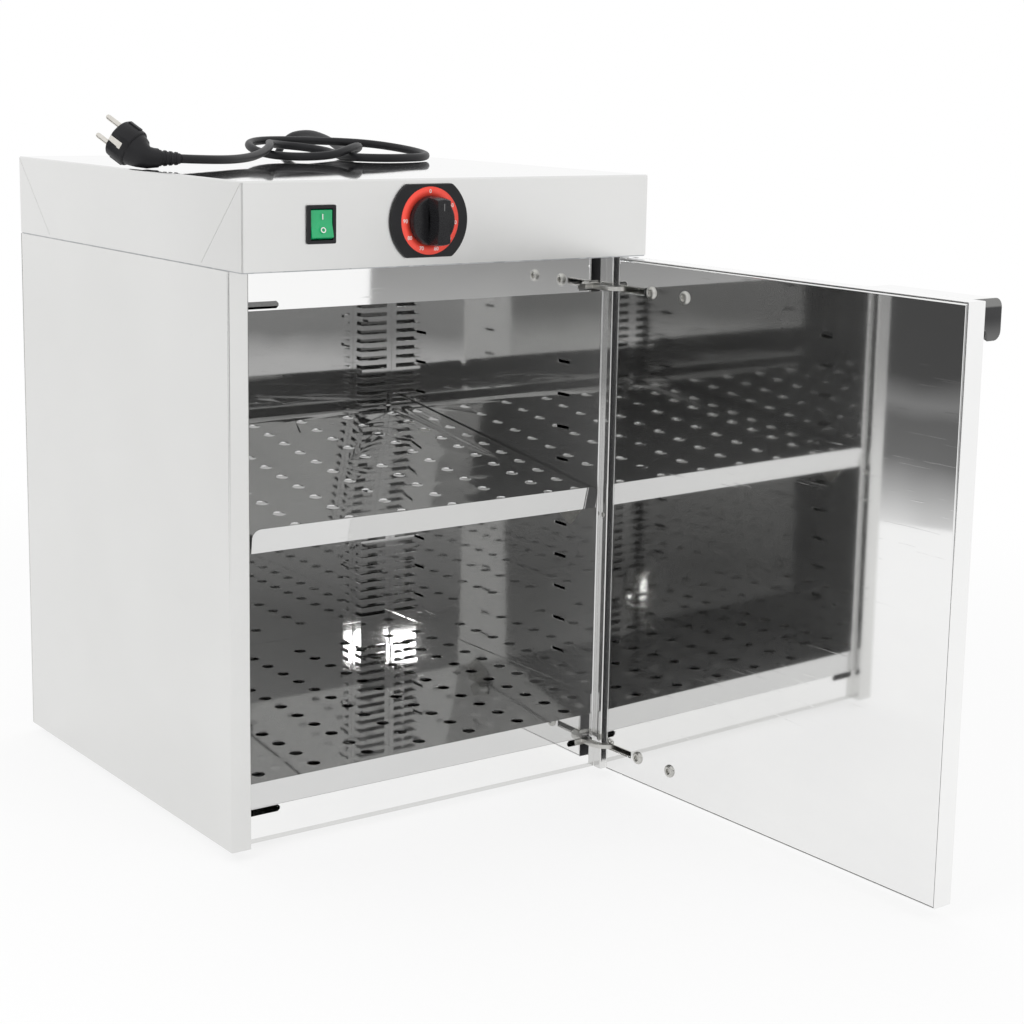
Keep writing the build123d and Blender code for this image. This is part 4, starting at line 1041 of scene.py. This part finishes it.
def round_feet():
    parts = []
    for x in (-FOOT_PLACE[0], FOOT_PLACE[0]):
        for y in (-FOOT_PLACE[1], FOOT_PLACE[1]):
            parts.append(turned("foot", FOOT, Matrix.Translation((x * MM, y * MM, 0))))
    stand_in(joined("round_feet", parts), "rubber_feet", "black_rubber", "cabinet")


GUARD_START = 232.0
GUARD_STEPS = 20
GUARD_RADIUS = 6.9
GUARD_THINNING = 2.0
GROOVE_DEPTH = 0.9


def grooved(step):
    """True at the two of every four steps that lie in a groove, but not at the guard's ends."""
    return step % 4 in (2, 3) and 2 < step < GUARD_STEPS - 1


def ribbed_guard():
    """Bend relief at the gland, thinner towards the cord and cut by grooves."""
    x, end, z = LEAD_ROUTE[0]
    stations = []
    for step in range(GUARD_STEPS + 1):
        share = step / GUARD_STEPS
        radius = GUARD_RADIUS - GUARD_THINNING * share - GROOVE_DEPTH * grooved(step)
        stations.append((x, GUARD_START + (end - GUARD_START) * share, z, radius))
    guard = tube_of("ribbed_guard", stations)
    stand_in(guard, "cord_guard", "black_rubber", "cabinet")


# ---- plug ----
# Rings of turned pieces, as steps of radius and height above the face that carries the pins.
PLUG_NOSE = (
    (14.6, -0.6), (16.4, -0.2), (17.3, -1.2), (17.5, -2.4), (17.5, -16.6), (17.1, -17.8), (15.8, -18.6),
)
PLUG_FLAT = 15.5
PLUG_LUG = (2.4, 4.6, 13.0)
PLUG_LUG_AWAY = 17.4
PLUG_LUG_DEPTH = 15.5
PLUG_PIN = ((2.4, -1.0), (2.4, 16.6), (2.1, 18.0), (1.4, 18.8), (0.6, 19.0))
PLUG_PIN_AWAY = 9.5
PLUG_ELBOW_DEPTH = 31.0
# Steps of depth behind the face and radius.
PLUG_SHOULDER = ((17.5, 15.4), (20.0, 15.0), (24.0, 13.6), (27.5, 11.6))
# Steps of share of the way from the elbow to the end of the lead, and radius.
PLUG_NECK = (
    (0.10, 9.6), (0.25, 8.7), (0.36, 8.4), (0.38, 7.2), (0.44, 7.2), (0.46, 6.3), (0.52, 6.3),
    (0.54, 7.0), (0.60, 6.8), (0.62, 5.7), (0.68, 5.7), (0.70, 6.4), (0.76, 6.2), (0.78, 5.2),
    (0.84, 5.2), (0.86, 5.9), (0.92, 5.7), (0.94, 4.8), (1.0, 4.6),
)


def plug_place():
    """The middle of the plug's face, with Z along the pins and X across them."""
    axis = Vector(PLUG_AXIS).normalized()
    across = (Vector((0, 0, 1)) - axis * axis.z).normalized()
    turn = Matrix((across, axis.cross(across), axis)).transposed().to_4x4()
    return Matrix.Translation(Vector(PLUG_FACE) * MM) @ turn


def plug_nose(place):
    """Round nose with two flats."""
    nose = turned("plug_nose", PLUG_NOSE, Matrix.Identity(4), sides=56)
    only(nose)
    for side in (-1, 1):
        bpy.ops.object.mode_set(mode="EDIT")
        bpy.ops.mesh.select_all(action="SELECT")
        flat = (0, side * PLUG_FLAT * MM, 0)
        bpy.ops.mesh.bisect(plane_co=flat, plane_no=(0, side, 0), use_fill=True, clear_outer=True)
        bpy.ops.object.mode_set(mode="OBJECT")
    return settle(nose, place)


def plug_neck():
    """Shoulder behind the nose, and the grooved neck that bends from it to the lead."""
    axis = Vector(PLUG_AXIS).normalized()
    face = Vector(PLUG_FACE)
    elbow = face - axis * PLUG_ELBOW_DEPTH
    tail = Vector(TAIL_ROUTE[-1])
    stations = [(*(face - axis * depth), radius) for depth, radius in PLUG_SHOULDER]
    stations += [(*elbow.lerp(tail, share), radius) for share, radius in PLUG_NECK]
    return tube_of("plug_neck", stations, steps=8)


def plug_shape():
    """Moulded plug: nose, a lug on either side of it, neck and two round pins."""
    place = plug_place()
    parts = [plug_nose(place)]
    for side in (-1, 1):
        beside = Matrix.Translation((side * PLUG_LUG_AWAY * MM, 0, -PLUG_LUG_DEPTH * MM))
        parts.append(slab("lug", PLUG_LUG, place @ beside, rounding=0.5))
    parts.append(plug_neck())
    plug = joined("plug_moulding", parts)
    stand_in(plug, "plug_body", "black_rubber", "cabinet")
    pins = []
    for side in (-1, 1):
        root = place @ Matrix.Translation((side * PLUG_PIN_AWAY * MM, 0, 0))
        pins.append(turned("pin", PLUG_PIN, root, sides=24))
    stand_in(joined("plug_round_pins", pins), "plug_pins", "nickel", "cabinet")


# ---- floor and light ----
FLOOR_RADIUS = 2.6
FLOOR_SIDES = 96
FLOOR_DROP = 0.0005
# Distances from the middle between which the shadow on the floor fades out.
FLOOR_SHADOW_REACH = (0.7, 1.5)
# How much of the floor's look is plain white where the shadow is still whole.
FLOOR_OWN_WHITE = 0.78
WORLD_LEVEL = 0.7
# Each card's place, its width and height, and steps of height and grey.
FRONT_CARD = ((-0.80, -1.20), (1.5, 0.86))
FRONT_TONES = (
    (0.0, 1.0), (0.11, 0.9), (0.17, 0.36), (0.30, 0.42), (0.50, 0.18), (0.70, 0.28), (0.86, 1.0),
)
LEFT_CARD = ((-0.95, 0.35), (0.34, 0.7))
LEFT_TONES = (
    (0.0, 0.75), (0.05, 0.42), (0.10, 0.16), (0.17, 0.13), (0.20, 0.22), (0.24, 0.07), (0.5, 0.06),
)
# The height that the scale of greys is drawn up to, and how far its steps wander up and down.
TONES_TOP = 1.5
TONES_DRIFT = 0.10
# Each lamp's place, size and power, and whether polished sheet mirrors it.
LAMPS = {
    "softbox_left": ((-1.9, -0.5, 1.5), (1.3, 1.3), 14, False),
    "softbox_front": ((0.5, -2.3, 1.9), (1.2, 0.9), 10, False),
    "softbox_top": ((0.2, 0.5, 2.3), (1.6, 1.6), 12, False),
    "flash": ((-0.715, -1.21, 0.55), (0.06, 0.06), 0.5, True),
}
LAMPS_AIM = Vector((0, 0, 0.3))


def make_floor():
    """White paper whose own shading, and so the shadow, fades out away from the cabinet."""
    bpy.ops.mesh.primitive_circle_add(
        vertices=FLOOR_SIDES, radius=FLOOR_RADIUS, fill_type="NGON", location=(0, 0, -FLOOR_DROP)
    )
    floor = bpy.context.object
    floor.name = "studio_floor"
    paper = Recipe("pale_paper")
    paper.set(Base_Color=rgb(0.92, 0.92, 0.92), Roughness=0.8)
    seen = paper.node("ShaderNodeLightPath", out="Is Camera Ray")
    mirrored = paper.node("ShaderNodeLightPath", out="Is Glossy Ray")
    shown = paper.node("ShaderNodeMath", {"operation": "MAXIMUM"}, {0: seen, 1: mirrored})
    away = paper.node("ShaderNodeVectorMath", {"operation": "LENGTH"}, {0: paper.place}, out="Value")
    fade = paper.between(away, *FLOOR_SHADOW_REACH)
    glow = paper.node("ShaderNodeEmission", {}, {"Color": rgb(1, 1, 1), "Strength": 1.0})
    share = shown * (FLOOR_OWN_WHITE + (1 - FLOOR_OWN_WHITE) * fade)
    shaded = Link(paper, paper.shader.outputs[0])
    paper.show(paper.node("ShaderNodeMixShader", {}, {0: share, 1: shaded, 2: glow}))
    floor.data.materials.append(paper.material)


def make_world():
    """White all round, less bright as a light than where it is seen or mirrored."""
    world = bpy.data.worlds.new("studio")
    bpy.context.scene.world = world
    world.use_nodes = True
    tree = world.node_tree
    background = tree.nodes["Background"]
    background.inputs["Color"].default_value = rgb(1, 1, 1)
    path = tree.nodes.new("ShaderNodeLightPath")
    seen = tree.nodes.new("ShaderNodeMath")
    seen.operation = "MAXIMUM"
    tree.links.new(path.outputs["Is Camera Ray"], seen.inputs[0])
    tree.links.new(path.outputs["Is Glossy Ray"], seen.inputs[1])
    level = tree.nodes.new("ShaderNodeMapRange")
    level.inputs["To Min"].default_value = WORLD_LEVEL
    level.inputs["To Max"].default_value = 1.0
    tree.links.new(seen.outputs[0], level.inputs["Value"])
    tree.links.new(level.outputs[0], background.inputs["Strength"])


def dark_card(name, card, tones):
    """An upright card that only polished sheet mirrors, with its grey given height by height."""
    (x, y), (width, height) = card
    bpy.ops.object.select_all(action="DESELECT")
    bpy.ops.mesh.primitive_plane_add(size=1)
    piece = bpy.context.object
    piece.name = name
    piece.scale = (width, height, 1)
    piece.rotation_euler = (math.radians(90), 0, math.atan2(x, -y))
    piece.location = (x, y, height / 2)
    bpy.ops.object.transform_apply(location=True, rotation=True, scale=True)
    room = Recipe(name + "_grey")
    drift = TONES_DRIFT * (room.noise(scale=5.0) - 0.5)
    level = (room.height() + drift) * (1 / TONES_TOP)
    stops = [(place / TONES_TOP, rgb(grey, grey, grey)) for place, grey in tones]
    tone = room.node("ShaderNodeValToRGB", {"stops": stops}, {"Fac": level})
    room.show(room.node("ShaderNodeEmission", {}, {"Color": tone, "Strength": 1.0}))
    room.material.cycles.emission_sampling = "NONE"
    piece.data.materials.append(room.material)
    piece.visible_camera = False
    piece.visible_diffuse = False
    piece.visible_transmission = False
    piece.visible_shadow = False


def make_cards():
    dark_card("front_card", FRONT_CARD, FRONT_TONES)
    dark_card("left_card", LEFT_CARD, LEFT_TONES)


def make_lamps():
    for name, (place, (width, height), power, mirrored) in LAMPS.items():
        data = bpy.data.lights.new(name, "AREA")
        data.shape = "RECTANGLE"
        data.size = width
        data.size_y = height
        data.energy = power
        piece = bpy.data.objects.new(name, data)
        piece.location = place
        piece.rotation_euler = (LAMPS_AIM - Vector(place)).to_track_quat("-Z", "Y").to_euler()
        piece.visible_glossy = mirrored
        bpy.context.scene.collection.objects.link(piece)


place_camera()
bpy.context.scene.view_settings.view_transform = "Standard"
mains_lead = make_cord()
coat_nodes()
coat(mains_lead, "black_rubber")
softened_nodes()
perforated_sheets()
dial_print()
knob_shape()
rocker_print()
pull_handle()
door_heads()
return_rivet_heads()
round_feet()
ribbed_guard()
plug_shape()
make_floor()
make_world()
make_cards()
make_lamps()
